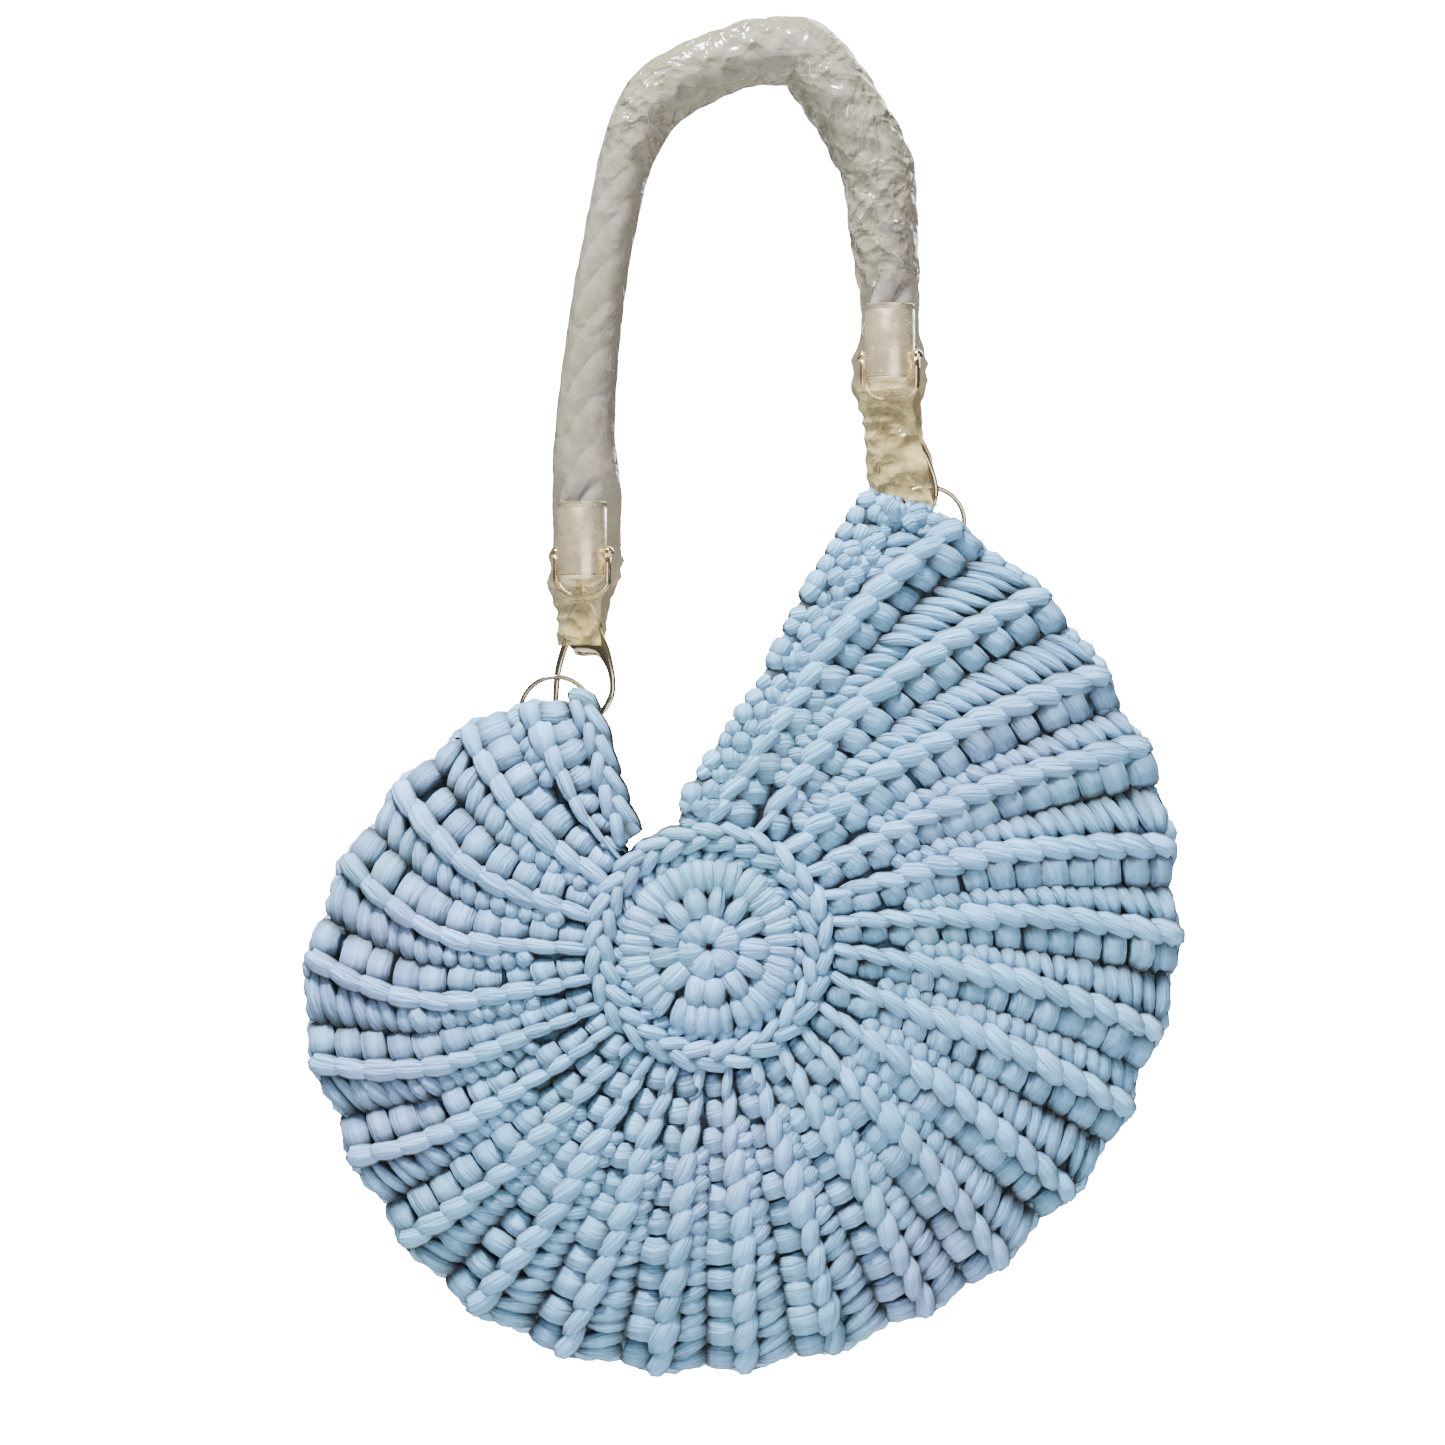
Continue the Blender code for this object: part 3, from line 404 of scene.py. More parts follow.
def edge_table(side_name):
    """Angle and distance of the panel's own edge along a side of the mouth, by reach."""
    rows = []
    for point in mouth_curve(side_name, EDGING_WIDTH + CLEARANCE):
        offset = point - rosette_centre()
        rows.append((math.degrees(math.atan2(offset[0], offset[2])), float(np.linalg.norm(offset))))
    rows[0] = (rows[0][0], panel_start())
    return [row.reach for row in PANEL_ROWS], [row[0] for row in rows], [row[1] for row in rows]


RIGHT_EDGE = edge_table("right")
LEFT_EDGE = edge_table("left")


def line_angle(line, reach):
    straight = mix(line.ring_angle, line.rim_angle, reach)
    return straight + line.bow * math.sin(math.pi * min(1.0, reach))


def panel_point(rib, share, reach, lift):
    """A point on the front by rib, share across it, share out to the rim, and height."""
    low, high = RIB_LINES[rib], RIB_LINES[rib + 1]
    rim_angle = mix(low.rim_angle, high.rim_angle, share)
    at_rim = rim_radius(rim_angle) + SCALLOP * float(np.interp(share, QUARTERS, RIB_PROFILE))
    radius = mix(panel_start(), at_rim, reach)
    line_low, line_high = line_angle(low, reach), line_angle(high, reach)
    if rib == 0:
        line_low = float(np.interp(reach, RIGHT_EDGE[0], RIGHT_EDGE[1]))
        edge = float(np.interp(reach, RIGHT_EDGE[0], RIGHT_EDGE[2]))
        radius += (edge - radius) * max(0.0, 1.0 - share) ** 2
    if rib == len(RIB_LINES) - 2:
        line_high = float(np.interp(reach, LEFT_EDGE[0], LEFT_EDGE[1])) + 360.0
        edge = float(np.interp(reach, LEFT_EDGE[0], LEFT_EDGE[2]))
        radius += (edge - radius) * min(1.0, max(0.0, share)) ** 2
    gap = inside_half_gap(rim_angle, min(reach, 1.0))
    return polar(mix(line_low, line_high, share), radius, -(gap + lift))


def panel_up(rib, share, reach):
    """The way out of the cloth at a place on the front."""
    step = 0.02
    along = panel_point(rib, share, reach + step, 0.0) - panel_point(rib, share, reach - step, 0.0)
    across = panel_point(rib, share + step, reach, 0.0) - panel_point(rib, share - step, reach, 0.0)
    normal = unit(np.cross(along, across))
    return normal if normal[1] < 0.0 else -normal


# Mesh helpers

def fresh():
    if bpy.context.object and bpy.context.object.mode != "OBJECT":
        bpy.ops.object.mode_set(mode="OBJECT")
    bpy.ops.object.select_all(action="DESELECT")


def only(obj):
    fresh()
    obj.select_set(True)
    bpy.context.view_layer.objects.active = obj


def apply_all(obj):
    only(obj)
    for modifier in list(obj.modifiers):
        bpy.ops.object.modifier_apply(modifier=modifier.name)


def finish_piece(obj, body, coat, nodes=()):
    """Puts the place of the piece in its mesh and tells the frame what it stands for."""
    only(obj)
    bpy.ops.object.transform_apply(location=True, rotation=True, scale=True)
    obj.data.materials.clear()
    obj.data.materials.append(coat)
    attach(obj, body)
    if nodes:
        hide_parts(*nodes)


def mesh_object(name, points, faces, uvs=None):
    mesh = bpy.data.meshes.new(name)
    mesh.from_pydata([tuple(point) for point in points], [], faces)
    if uvs is not None:
        layer = mesh.uv_layers.new(name="Strand")
        layer.data.foreach_set("uv", np.asarray(uvs, np.float32).ravel())
    mesh.update()
    mesh.shade_smooth()
    obj = bpy.data.objects.new(name, mesh)
    bpy.context.scene.collection.objects.link(obj)
    return obj


def point_values(obj, **columns):
    for label, values in columns.items():
        layer = obj.data.attributes.new(label, "FLOAT", "POINT")
        layer.data.foreach_set("value", np.asarray(values, np.float32))


def recalculate(obj):
    only(obj)
    bpy.ops.object.mode_set(mode="EDIT")
    bpy.ops.mesh.select_all(action="SELECT")
    bpy.ops.mesh.normals_make_consistent(inside=False)
    bpy.ops.object.mode_set(mode="OBJECT")


def joined(parts):
    only(parts[0])
    for part in parts:
        part.select_set(True)
    bpy.ops.object.join()
    return parts[0]


def smooth_below(degrees):
    bpy.ops.object.shade_smooth_by_angle(angle=math.radians(degrees))


def bevelled(obj, width, segments=2):
    bevel = obj.modifiers.new("edge", "BEVEL")
    bevel.width = width
    bevel.segments = segments
    bevel.limit_method = "ANGLE"
    apply_all(obj)
    return obj


def cylinder(name, vertices, radius, depth, place=(0.0, 0.0, 0.0), lying=True):
    """A cylinder that lies along Y or stands along Z."""
    fresh()
    bpy.ops.mesh.primitive_cylinder_add(vertices=vertices, radius=radius, depth=depth, location=place,
                                        rotation=(math.radians(90) * lying, 0.0, 0.0))
    bpy.ops.object.transform_apply(location=True, rotation=True, scale=True)
    bpy.context.object.name = name
    return bpy.context.object


def catmull(values, shares):
    """Smooth values at shares of the way along a row of control values."""
    values = np.asarray(values, float)
    if values.ndim == 1:
        values = values[:, None]
    padded = np.vstack([2 * values[0] - values[1], values, 2 * values[-1] - values[-2]])
    spans = len(values) - 1
    place = np.clip(shares, 0.0, 1.0) * spans
    index = np.minimum(place.astype(int), spans - 1)
    t = (place - index)[:, None]
    a, b, c, d = padded[index], padded[index + 1], padded[index + 2], padded[index + 3]
    return 0.5 * (2 * b + (c - a) * t + (2 * a - 5 * b + 4 * c - d) * t ** 2
                  + (3 * b - 3 * c + d - a) * t ** 3)


def tube_frames(points):
    """Directions across and out of a line, carried along it without twist."""
    across = np.array((1.0, 0.0, 0.0))
    first, second = [], []
    for way in np.gradient(points, axis=0):
        way = unit(way)
        across = unit(across - way * np.dot(across, way))
        first.append(across)
        second.append(np.cross(way, across))
    return np.array(first), np.array(second)


def flat_sides(line):
    """Directions across a line, in the plane of X and Z."""
    return np.array([unit(np.array((way[2], 0.0, -way[0]))) for way in np.gradient(line, axis=0)])


def even_route(points, count):
    lengths = np.concatenate([[0.0], np.cumsum(np.linalg.norm(np.diff(points, axis=0), axis=1))])
    at = np.linspace(0.0, lengths[-1], count)
    return np.stack([np.interp(at, lengths, points[:, i]) for i in range(3)], axis=1), lengths[-1]


def smooth_route(points, count):
    return even_route(catmull(points, np.linspace(0.0, 1.0, ROUTE_STEPS)), count)


def grid_faces(rows, columns, closed=True, capped=False):
    faces = []
    for i in range(rows - 1):
        for j in range(columns if closed else columns - 1):
            m = (j + 1) % columns
            faces.append((i * columns + j, i * columns + m, (i + 1) * columns + m, (i + 1) * columns + j))
    if capped:
        faces.append(tuple(range(columns))[::-1])
        faces.append(tuple((rows - 1) * columns + j for j in range(columns)))
    return faces


def sweep(name, centres, first, second, half_first, half_second, sides, twist=0.0):
    """A closed body swept along centres, with a strand map of length by turn."""
    rows = len(centres)
    turns = np.linspace(0.0, 2 * math.pi, sides, endpoint=False)
    second = np.broadcast_to(second, (rows, 3))
    half_first, half_second, twist = [np.broadcast_to(row, rows)
                                      for row in (half_first, half_second, twist)]
    points = [centres[i] + first[i] * half_first[i] * math.cos(turn + twist[i])
              + second[i] * half_second[i] * math.sin(turn + twist[i])
              for i in range(rows) for turn in turns]
    faces = grid_faces(rows, sides, capped=True)
    run = np.concatenate([[0.0], np.cumsum(np.linalg.norm(np.diff(centres, axis=0), axis=1))])
    uvs = []
    for face in faces:
        for corner, vertex in enumerate(face):
            i, j = divmod(vertex, sides)
            wraps = len(face) == 4 and corner in (1, 2) and j == 0
            uvs.append((1.0 if wraps else j / sides, run[i] * STRAND_MAP))
    obj = mesh_object(name, points, faces, uvs)
    recalculate(obj)
    return obj


def flat_bar(name, line, half_across, half_deep, sides):
    """A closed bar along a line in the plane of X and Z."""
    return sweep(name, line, flat_sides(line), BEHIND, half_across, half_deep, sides)


# Stitches

class StitchForm:
    """The form that every stitch copies: a round bar with blunt ends, modelled once."""

    def __init__(self, around=8, rings=8):
        fresh()
        bpy.ops.mesh.primitive_uv_sphere_add(segments=around, ring_count=rings, radius=1.0)
        ball = bpy.context.object
        bpy.ops.object.mode_set(mode="EDIT")
        for ring in range(1, rings):
            height = math.cos(math.pi * ring / rings)
            size = (1.0 - abs(height) ** END_POWER) ** END_ROUNDING / math.sin(math.pi * ring / rings)
            bpy.ops.mesh.select_all(action="DESELECT")
            mesh = bmesh.from_edit_mesh(ball.data)
            for vert in mesh.verts:
                vert.select = abs(vert.co.z - height) < 1e-3
            mesh.select_flush_mode()
            bmesh.update_edit_mesh(ball.data)
            bpy.ops.transform.resize(value=(size, size, 1.0), center_override=(0.0, 0.0, height))
        bpy.ops.object.mode_set(mode="OBJECT")
        mesh = ball.data
        spots = np.array([vert.co for vert in mesh.vertices])
        turn = np.arctan2(spots[:, 1], spots[:, 0])
        self.sections = []
        for power in (ROUND_SECTION, BLOCK_SECTION):
            square = (np.abs(np.cos(turn)) ** power + np.abs(np.sin(turn)) ** power) ** (-1.0 / power)
            self.sections.append((spots[:, 0] * square, spots[:, 1] * square))
        levels, level = np.unique(np.round(spots[:, 2], 4), return_inverse=True)
        self.level = level.ravel()
        self.along = 0.5 + 0.5 * levels
        self.faces = [tuple(face.vertices) for face in mesh.polygons]
        self.uvs = np.array([loop.uv for loop in mesh.uv_layers.active.data])
        bpy.data.objects.remove(ball, do_unlink=True)
        # Painted light: each strand is painted lighter on its top, with painted shade on its sides and
        # ends; merged stitches keep lighter ends.
        high = np.clip(0.5 + 0.5 * self.sections[0][1], 0.0, 1.0) ** 0.8
        ends = np.abs(2.0 * self.along[self.level] - 1.0) ** 5
        self.lights = [high * (1.0 - 0.75 * ends), high * (1.0 - 0.30 * ends)]


class StitchPile:
    """Gathers stitches and joins them into one mesh."""

    def __init__(self, form, seed):
        self.form = form
        self.random = np.random.default_rng(seed)
        self.points, self.faces, self.uvs, self.light, self.tone = [], [], [], [], []

    def vary(self, spread):
        return 1.0 + self.random.normal(0.0, spread)

    def lay(self, path, ups, widths, depths, tone=0.0, brick=False, merged=False, glow=(1.0, 1.0)):
        """One stitch along a path, with its way out, half width and half depth on the way."""
        form = self.form
        section_across, section_out = form.sections[int(brick)]
        centres = catmull(path, form.along)
        ahead = catmull(path, form.along + LOOK_AHEAD) - catmull(path, form.along - LOOK_AHEAD)
        ups = catmull(ups, form.along) if np.ndim(ups) > 1 else np.tile(ups, (len(centres), 1))
        wide, deep = [catmull(row, form.along)[:, 0] if np.ndim(row) else np.full(len(centres), row)
                      for row in (widths, depths)]
        ahead /= np.linalg.norm(ahead, axis=1)[:, None]
        across = np.cross(ahead, ups)
        across /= np.linalg.norm(across, axis=1)[:, None]
        outs = np.cross(across, ahead)
        k = form.level
        spots = (centres[k] + across[k] * (section_across * wide[k])[:, None]
                 + outs[k] * (section_out * deep[k])[:, None])
        base = len(self.points) * len(spots)
        self.points.append(spots)
        self.faces.extend(tuple(base + v for v in face) for face in form.faces)
        length = float(np.linalg.norm(np.diff(np.asarray(path), axis=0), axis=1).sum())
        shift = self.random.random(2) * MAP_SHIFT
        self.uvs.append(form.uvs * (1.0, length * STRAND_MAP) + shift)
        # Painted shade: the glow row darkens the stitch along its length, most toward the valley.
        self.light.append(form.lights[int(merged)] * catmull(glow, form.along)[k, 0])
        # Each stitch has a random tone, plus a set offset per kind of stitch that is painted shade or
        # painted light.
        self.tone.append(np.full(len(spots), 0.5 + tone + self.random.normal(0.0, TONE_SPREAD)))

    def build(self, name, mirrored=False):
        points = np.concatenate(self.points) * (1.0, -1.0 if mirrored else 1.0, 1.0)
        obj = mesh_object(name, points, self.faces, np.concatenate(self.uvs))
        if mirrored:
            obj.data.flip_normals()
        point_values(obj, light=np.concatenate(self.light), tone=np.concatenate(self.tone))
        return obj


def rib_width(rib, reach):
    return float(np.linalg.norm(panel_point(rib, 1.0, reach, 0.0) - panel_point(rib, 0.0, reach, 0.0)))


def rib_length(angle):
    return rim_radius(angle) - panel_start()


def rib_split(rib, reach):
    """Shares across the rib where its cord starts and ends, and its width."""
    yarn = settings().yarn
    width = rib_width(rib, reach)
    cord = min(yarn.cord_width, 0.38 * width)
    block = min(yarn.block_width, mix(0.57, 0.44, smoothstep(0.012, 0.020, width)) * width)
    return 1.0 - (cord + block) / width, 1.0 - block / width, width


def cloth_rise(reach):
    """How the wall thins to the seam at the rim, and the ribs fade to the ring."""
    rim = 1.0 - 0.45 * smoothstep(0.93, 1.0, reach)
    return WALL * rim, RIB_HEIGHT * rim * mix(0.35, 1.0, min(1.0, reach))


def spot(pile, rib, share, reach, lift, wobble):
    return panel_point(rib, share, reach, lift) + pile.random.normal(0.0, 1.0, 3) * wobble


def rib_stitches(pile, rib):
    """Rows of a block beside the valley, a link of the raised chain and a pair of leaves."""
    yarn = settings().yarn
    length = rib_length(mix(RIB_LINES[rib].rim_angle, RIB_LINES[rib + 1].rim_angle, 0.5))
    rows = max(3, round(length / yarn.row_pitch))
    pitch = 1.0 / rows
    rib_tone = pile.random.normal(0.0, RIB_TONE_SPREAD)
    slant = mix(1.0, 0.45, smoothstep(15, 18, rib))
    for row in range(rows):
        mid = (row + 0.5) / rows
        start, end, width = rib_split(rib, mid)
        wall, rise = cloth_rise(mid)
        up = panel_up(rib, 0.8, mid)
        block = 1.0 - end
        half = length / rows * 0.545 * pile.vary(yarn.unevenness)
        deep = min(BLOCK_HALF_DEPTH, width * 0.21)
        lift = wall + rise * 0.76 - deep * 0.86
        lean_out = 0.10 * pitch * slant
        path = [spot(pile, rib, end + along * block, mid + lean_out * turn, lift + height, BLOCK_WOBBLE)
                for along, turn, height in ((-0.34, -1.6, 0.0004), (0.42, 0.0, 0.0004),
                                            (1.02, 1.0, -0.0034))]
        to_valley = unit(panel_point(rib, 1.0, mid, 0.0) - panel_point(rib, end, mid, 0.0))
        # Painted shade: the blocks get a darker tone (-0.08), and the glow row darkens them toward the
        # chain and the valley.
        pile.lay(path, unit(up + to_valley * 0.40), half * np.array((1.04, 1.0, 0.96)),
                 deep * pile.vary(yarn.unevenness), rib_tone - 0.08, brick=True,
                 glow=(0.80, 0.90, 1.0, 0.90, 0.70))
        cord = end - start
        deep = min(CORD_HALF_DEPTH, width * 0.17)
        lift = wall + rise - deep * 0.62
        mean = start + 0.5 * cord
        side = 0.38 * cord * slant
        half = min(CORD_HALF_WIDTH, 0.56 * cord * width)
        last = min(mid + 0.95 * pitch, 1.0 - 0.12 * pitch)
        path = [spot(pile, rib, mean + side * off, reach, lift + height, CORD_WOBBLE)
                for off, reach, height in ((-1.0, mid - 1.05 * pitch, -deep * 0.62),
                                           (-0.6, mid - 0.36 * pitch, 0.0),
                                           (0.5, mid + 0.26 * pitch, 0.0006), (1.0, last, -deep * 0.62))]
        # Painted light: the raised chain gets a lighter tone (+0.12).
        pile.lay(path, up, half * pile.vary(yarn.unevenness) * np.array((0.44, 0.96, 1.04, 0.46)),
                 deep * np.array((0.6, 1.0, 1.0, 0.5)), rib_tone + 0.12, merged=True)
        leaves(pile, rib, mid, pitch, start, width, rib_tone)


def leaves(pile, rib, mid, pitch, start, width, rib_tone):
    """Slanted pairs of strands on the side of the rib, and round bumps beside the mouth."""
    uneven = settings().yarn.unevenness
    wall, rise = cloth_rise(mid)
    room = start * width
    low = 0.0
    up = panel_up(rib, 0.3, mid)
    while rib == 0 and room > BUMP_WIDTH * 1.25:
        bump = BUMP_WIDTH / width
        at = low + bump * 0.5
        for half_row in (-0.25, 0.25):
            path = [spot(pile, rib, at + step * 0.2 * bump, mid + (half_row + step * 0.16) * pitch,
                         wall + 0.0006 - abs(step) * 0.0022, BLOCK_WOBBLE)
                    for step in (-1.0, 0.0, 1.0)]
            pile.lay(path, up, 0.0052 * pile.vary(uneven), 0.0036 * pile.vary(uneven), rib_tone - 0.08)
        low += bump
        room -= BUMP_WIDTH
        if room < 0.0125:
            break
    if room < 0.0032:
        return
    kind = BROAD_LEAF if rib < 3 and room > 0.006 else LEAF
    half = kind.half * pitch * rib_length(RIB_LINES[rib].rim_angle)
    skew = kind.skew * pitch
    valley = low - kind.tuck / width
    for lane in (-0.25, 0.25):
        near, middle, far = [mid + lane * spread * pitch for spread in kind.spread]
        path = [spot(pile, rib, start + LEAF_ROOT / width, near, wall + rise * 0.66 - kind.deep,
                     LEAF_WOBBLE),
                spot(pile, rib, mix(valley, start, 0.55), middle - 0.4 * skew,
                     wall + rise * 0.42 - kind.deep * 0.35, LEAF_WOBBLE),
                spot(pile, rib, valley, far - skew, wall - kind.deep * kind.sink, LEAF_WOBBLE)]
        # Painted shade: the leaves get a darker tone (-0.04), and the glow row darkens them toward both
        # ends.
        pile.lay(path, up, half * pile.vary(uneven) * np.array((0.52, 1.02, 0.96)),
                 kind.deep * pile.vary(uneven), rib_tone - 0.04, merged=True, glow=kind.glow)


def rim_place(rib, share):
    """The seam at the rim, with the way out of the cloth and away from the rosette."""
    top = panel_point(rib, share, 1.0, 0.0)
    return top, panel_up(rib, share, 0.97), unit((top - rosette_centre()) * (1.0, 0.0, 1.0))


def rim_stitches(pile, rib):
    """Short stitches that turn over the seam from the panel's face."""
    width = rib_width(rib, 1.0)
    count = max(3, round(width / RIM_STITCH))
    wall, rise = cloth_rise(1.0)
    reach = 0.0125 / rib_length(RIB_LINES[rib].rim_angle)
    for i in range(count):
        share = (i + 0.5) / count
        if rib == 0 and share < 0.38:
            continue
        top, up, out = rim_place(rib, share)
        half = RIM_HALF_WIDTH * pile.vary(0.10)
        path = [panel_point(rib, share + along / count, 1.0, wall * 0.42) - out * (half * 0.80 + dip)
                + pile.random.normal(0.0, LEAF_WOBBLE, 3)
                for along, dip in ((-0.66, 0.0022), (-0.05, 0.0), (0.60, 0.0024))]
        pile.lay(path, unit(up + out * 0.7), half, half * 0.92, 0.02)
        inner = spot(pile, rib, share + 0.3 / count, 1.0 - reach, wall + rise * 0.30 - 0.0016, BLOCK_WOBBLE)
        crown = spot(pile, rib, share, 1.0 - reach * 0.35, wall * 0.92 - 0.0008, BLOCK_WOBBLE)
        under = top + FRONT * 0.0012 - out * 0.0030
        pile.lay([inner, crown, under], [up, unit(up + out * 0.5), unit(out + up * 0.4)],
                 width / count * 0.50, 0.0030, -0.02)


def peak_strands(pile):
    """Strands that turn over the top of the right peak, beside its ring."""
    span = rib_length(RIB_LINES[0].rim_angle)
    wall, rise = cloth_rise(1.0)
    for i in range(PEAK_STRANDS):
        share = 0.015 + 0.078 * i
        top, up, out = rim_place(0, share)
        foot = spot(pile, 0, share + 0.02, 1.0 - 0.0165 / span, wall + rise * 0.4 - 0.0006, PEAK_WOBBLE)
        bend = spot(pile, 0, share, 1.0 - 0.0030 / span, wall + 0.0002, PEAK_WOBBLE) + out * 0.0016
        under = top + FRONT * 0.0022 + out * 0.0032
        pile.lay([foot, bend, under], [up, unit(up + out * 0.6), unit(out + up * 0.3)],
                 (0.0024, 0.0027, 0.0025), 0.0030, 0.04, merged=True)


def chain(pile, centres, acrosses, half_width, half_depth, pitch, tone=0.0, loop=False):
    """A plait of paired slanted links along a line, pointing along it."""
    centres = np.asarray(centres)
    line, length = even_route(centres, 200)
    count = max(3, round(length / pitch))
    size = len(line) - 1

    def at(share):
        share = share % 1.0 if loop else min(1.0, max(0.0, share))
        index = min(int(share * size), size - 1)
        source = share * (len(centres) - 1)
        j = min(int(source), len(centres) - 2)
        return (mix(line[index], line[index + 1], share * size - index),
                unit(mix(acrosses[j], acrosses[j + 1], source - j)))

    for i in range(count):
        for lane in (-1.0, 1.0):
            path, ups = [], []
            for along, off, lift in ((-0.45, 0.78, -0.75), (0.15, 0.62, 0.15), (0.75, 0.22, 0.38),
                                     (1.15, 0.05, -0.25)):
                centre, across = at((i + 0.5 * (lane > 0) + along) / count)
                path.append(centre + across * lane * off * half_width + FRONT * lift * half_depth
                            + pile.random.normal(0.0, LINK_WOBBLE, 3))
                ups.append(unit(FRONT + across * lane * 0.25))
            wide = half_width * 0.56 * pile.vary(0.08)
            pile.lay(path, ups, wide * np.array((0.75, 1.05, 1.0, 0.6)), half_depth * 0.66, tone)


# Materials

def put(tree, socket, value):
    """Links a socket to another one, or sets its own value."""
    if hasattr(value, "is_output"):
        tree.links.new(value, socket)
    elif socket.type == "RGBA":
        socket.default_value = (*value, 1.0)
    else:
        socket.default_value = value


def node(tree, kind, **inputs):
    made = tree.nodes.new(kind)
    for name, value in inputs.items():
        put(tree, made.inputs[name.replace("_", " ")], value)
    return made


def look(tree, shader, **inputs):
    for name, value in inputs.items():
        put(tree, shader.inputs[name.replace("_", " ")], value)


def mixed(tree, share, low, high):
    made = tree.nodes.new("ShaderNodeMix")
    made.data_type = "RGBA"
    for index, value in ((0, share), (6, low), (7, high)):
        put(tree, made.inputs[index], value)
    return made.outputs[2]


def math_node(tree, operation, first, second=0.0):
    made = tree.nodes.new("ShaderNodeMath")
    made.operation = operation
    put(tree, made.inputs[0], first)
    put(tree, made.inputs[1], second)
    return made.outputs[0]


def ramp(tree, value, low, high, bottom=0.0, top=1.0):
    made = tree.nodes.new("ShaderNodeMapRange")
    for index, number in enumerate((value, low, high, bottom, top)):
        put(tree, made.inputs[index], number)
    return made.outputs[0]


def noise(tree, vector, scale, detail=2.0, roughness=0.5):
    made = node(tree, "ShaderNodeTexNoise", Vector=vector, Scale=scale, Detail=detail,
                Roughness=roughness)
    return made.outputs["Fac"]


def cells(tree, vector, scale, feature="F1"):
    made = node(tree, "ShaderNodeTexVoronoi", Vector=vector, Scale=scale)
    made.feature = feature
    return made.outputs["Distance"]


def stretched(tree, vector, scale):
    return node(tree, "ShaderNodeMapping", Vector=vector, Scale=scale).outputs[0]


def scaled(tree, vector, scale):
    made = tree.nodes.new("ShaderNodeVectorMath")
    made.operation = "SCALE"
    put(tree, made.inputs[0], vector)
    put(tree, made.inputs["Scale"], scale)
    return made.outputs[0]


def places(tree, kind="Object"):
    return tree.nodes.new("ShaderNodeTexCoord").outputs[kind]


def strand_map(tree):
    return tree.nodes.new("ShaderNodeUVMap").outputs[0]


def attribute(tree, name):
    made = tree.nodes.new("ShaderNodeAttribute")
    made.attribute_name = name
    return made.outputs["Fac"]


def bumped(tree, height, distance, strength, invert=False):
    made = node(tree, "ShaderNodeBump", Height=height, Distance=distance, Strength=strength)
    made.invert = invert
    return made.outputs[0]


def tint(colour, *factors):
    """A colour times one factor for all channels, or one for each."""
    return tuple(c * k for c, k in zip(colour, factors * 3))


def yarn_look(tree, shader):
    """Cotton T-shirt yarn: soft folds along each strand and slow changes of blue, with painted shade on the
    sides of the stitches and between them.
    """
    yarn = settings().yarn
    where = places(tree)
    wide = noise(tree, where, 9.0, 1.0)
    patch = noise(tree, stretched(tree, where, (1.0, 1.0, 1.4)), 17.0, 1.0)
    colour = mixed(tree, ramp(tree, wide, 0.46, 0.72), yarn.sky, yarn.lavender)
    colour = mixed(tree, ramp(tree, patch, 0.50, 0.76), colour, yarn.sea)
    light = attribute(tree, "light")
    # Painted shade: where the light attribute is low, on the sides of each stitch, the colour turns to the
    # shade colour.
    colour = mixed(tree, ramp(tree, light, 0.64, 1.0), yarn.shade, colour)
    tone = ramp(tree, attribute(tree, "tone"), 0.0, 1.0, 0.72, 1.26)
    folds = noise(tree, stretched(tree, strand_map(tree), (7.0, 0.6, 1.0)), 1.6, 2.0, 0.7)
    # Painted light and shade: the fold tops are painted lighter and the dips darker, along with each
    # stitch's tone.
    bright = scaled(tree, colour, math_node(tree, "MULTIPLY", tone,
                                            ramp(tree, folds, 0.3, 0.7, 0.78, 1.16)))
    # Painted shade: low light turns the colour to the dark crevice colour, deep between stitches and at
    # their ends.
    depth = math_node(tree, "POWER", ramp(tree, light, 0.42, 0.98), 1.35)
    look(tree, shader, Base_Color=mixed(tree, depth, yarn.crevice_shade, bright), Roughness=0.78,
         Sheen_Weight=0.10, Sheen_Roughness=0.45, Specular_IOR_Level=0.18,
         Normal=bumped(tree, folds, 0.0022, 1.0))


def backing_look(tree, shader):
    """The inner side of the stitches, seen in the mouth and in the holes between them, painted dark as
    painted shade.
    """
    yarn = settings().yarn
    holes = cells(tree, stretched(tree, places(tree), (1.0, 0.3, 1.0)), 95.0)
    # Painted shade: the backing is half as bright as the yarn, with darker painted holes.
    colour = mixed(tree, ramp(tree, holes, 0.15, 0.6), tint(yarn.sky, 0.5), tint(yarn.crevice_shade, 1.5))
    look(tree, shader, Base_Color=colour, Roughness=0.85, Normal=bumped(tree, holes, 0.0035, 0.8, True))


def rope_look(tree, shader):
    """Cotton rope with plies that turn along each strand."""
    base = settings().handle.rope_colour
    strand = strand_map(tree)
    fibres = noise(tree, stretched(tree, strand, (22.0, 1.2, 1.0)), 1.5, 3.0, 0.6)
    patch = ramp(tree, noise(tree, places(tree), 28.0), 0.4, 0.65)
    colour = mixed(tree, patch, base, tint(base, 1.08, 0.98, 1.10))
    colour = mixed(tree, ramp(tree, fibres, 0.35, 0.65), tint(base, 0.75), colour)
    lay = node(tree, "ShaderNodeSeparateXYZ", Vector=strand)
    plies = math_node(tree, "SINE", math_node(
        tree, "ADD", math_node(tree, "MULTIPLY", lay.outputs[1], 11.0),
        math_node(tree, "MULTIPLY", lay.outputs[0], 2 * math.pi)))
    look(tree, shader, Base_Color=colour, Roughness=0.8, Sheen_Weight=0.15,
         Normal=bumped(tree, math_node(tree, "ADD", fibres, plies), 0.0008, 0.8))


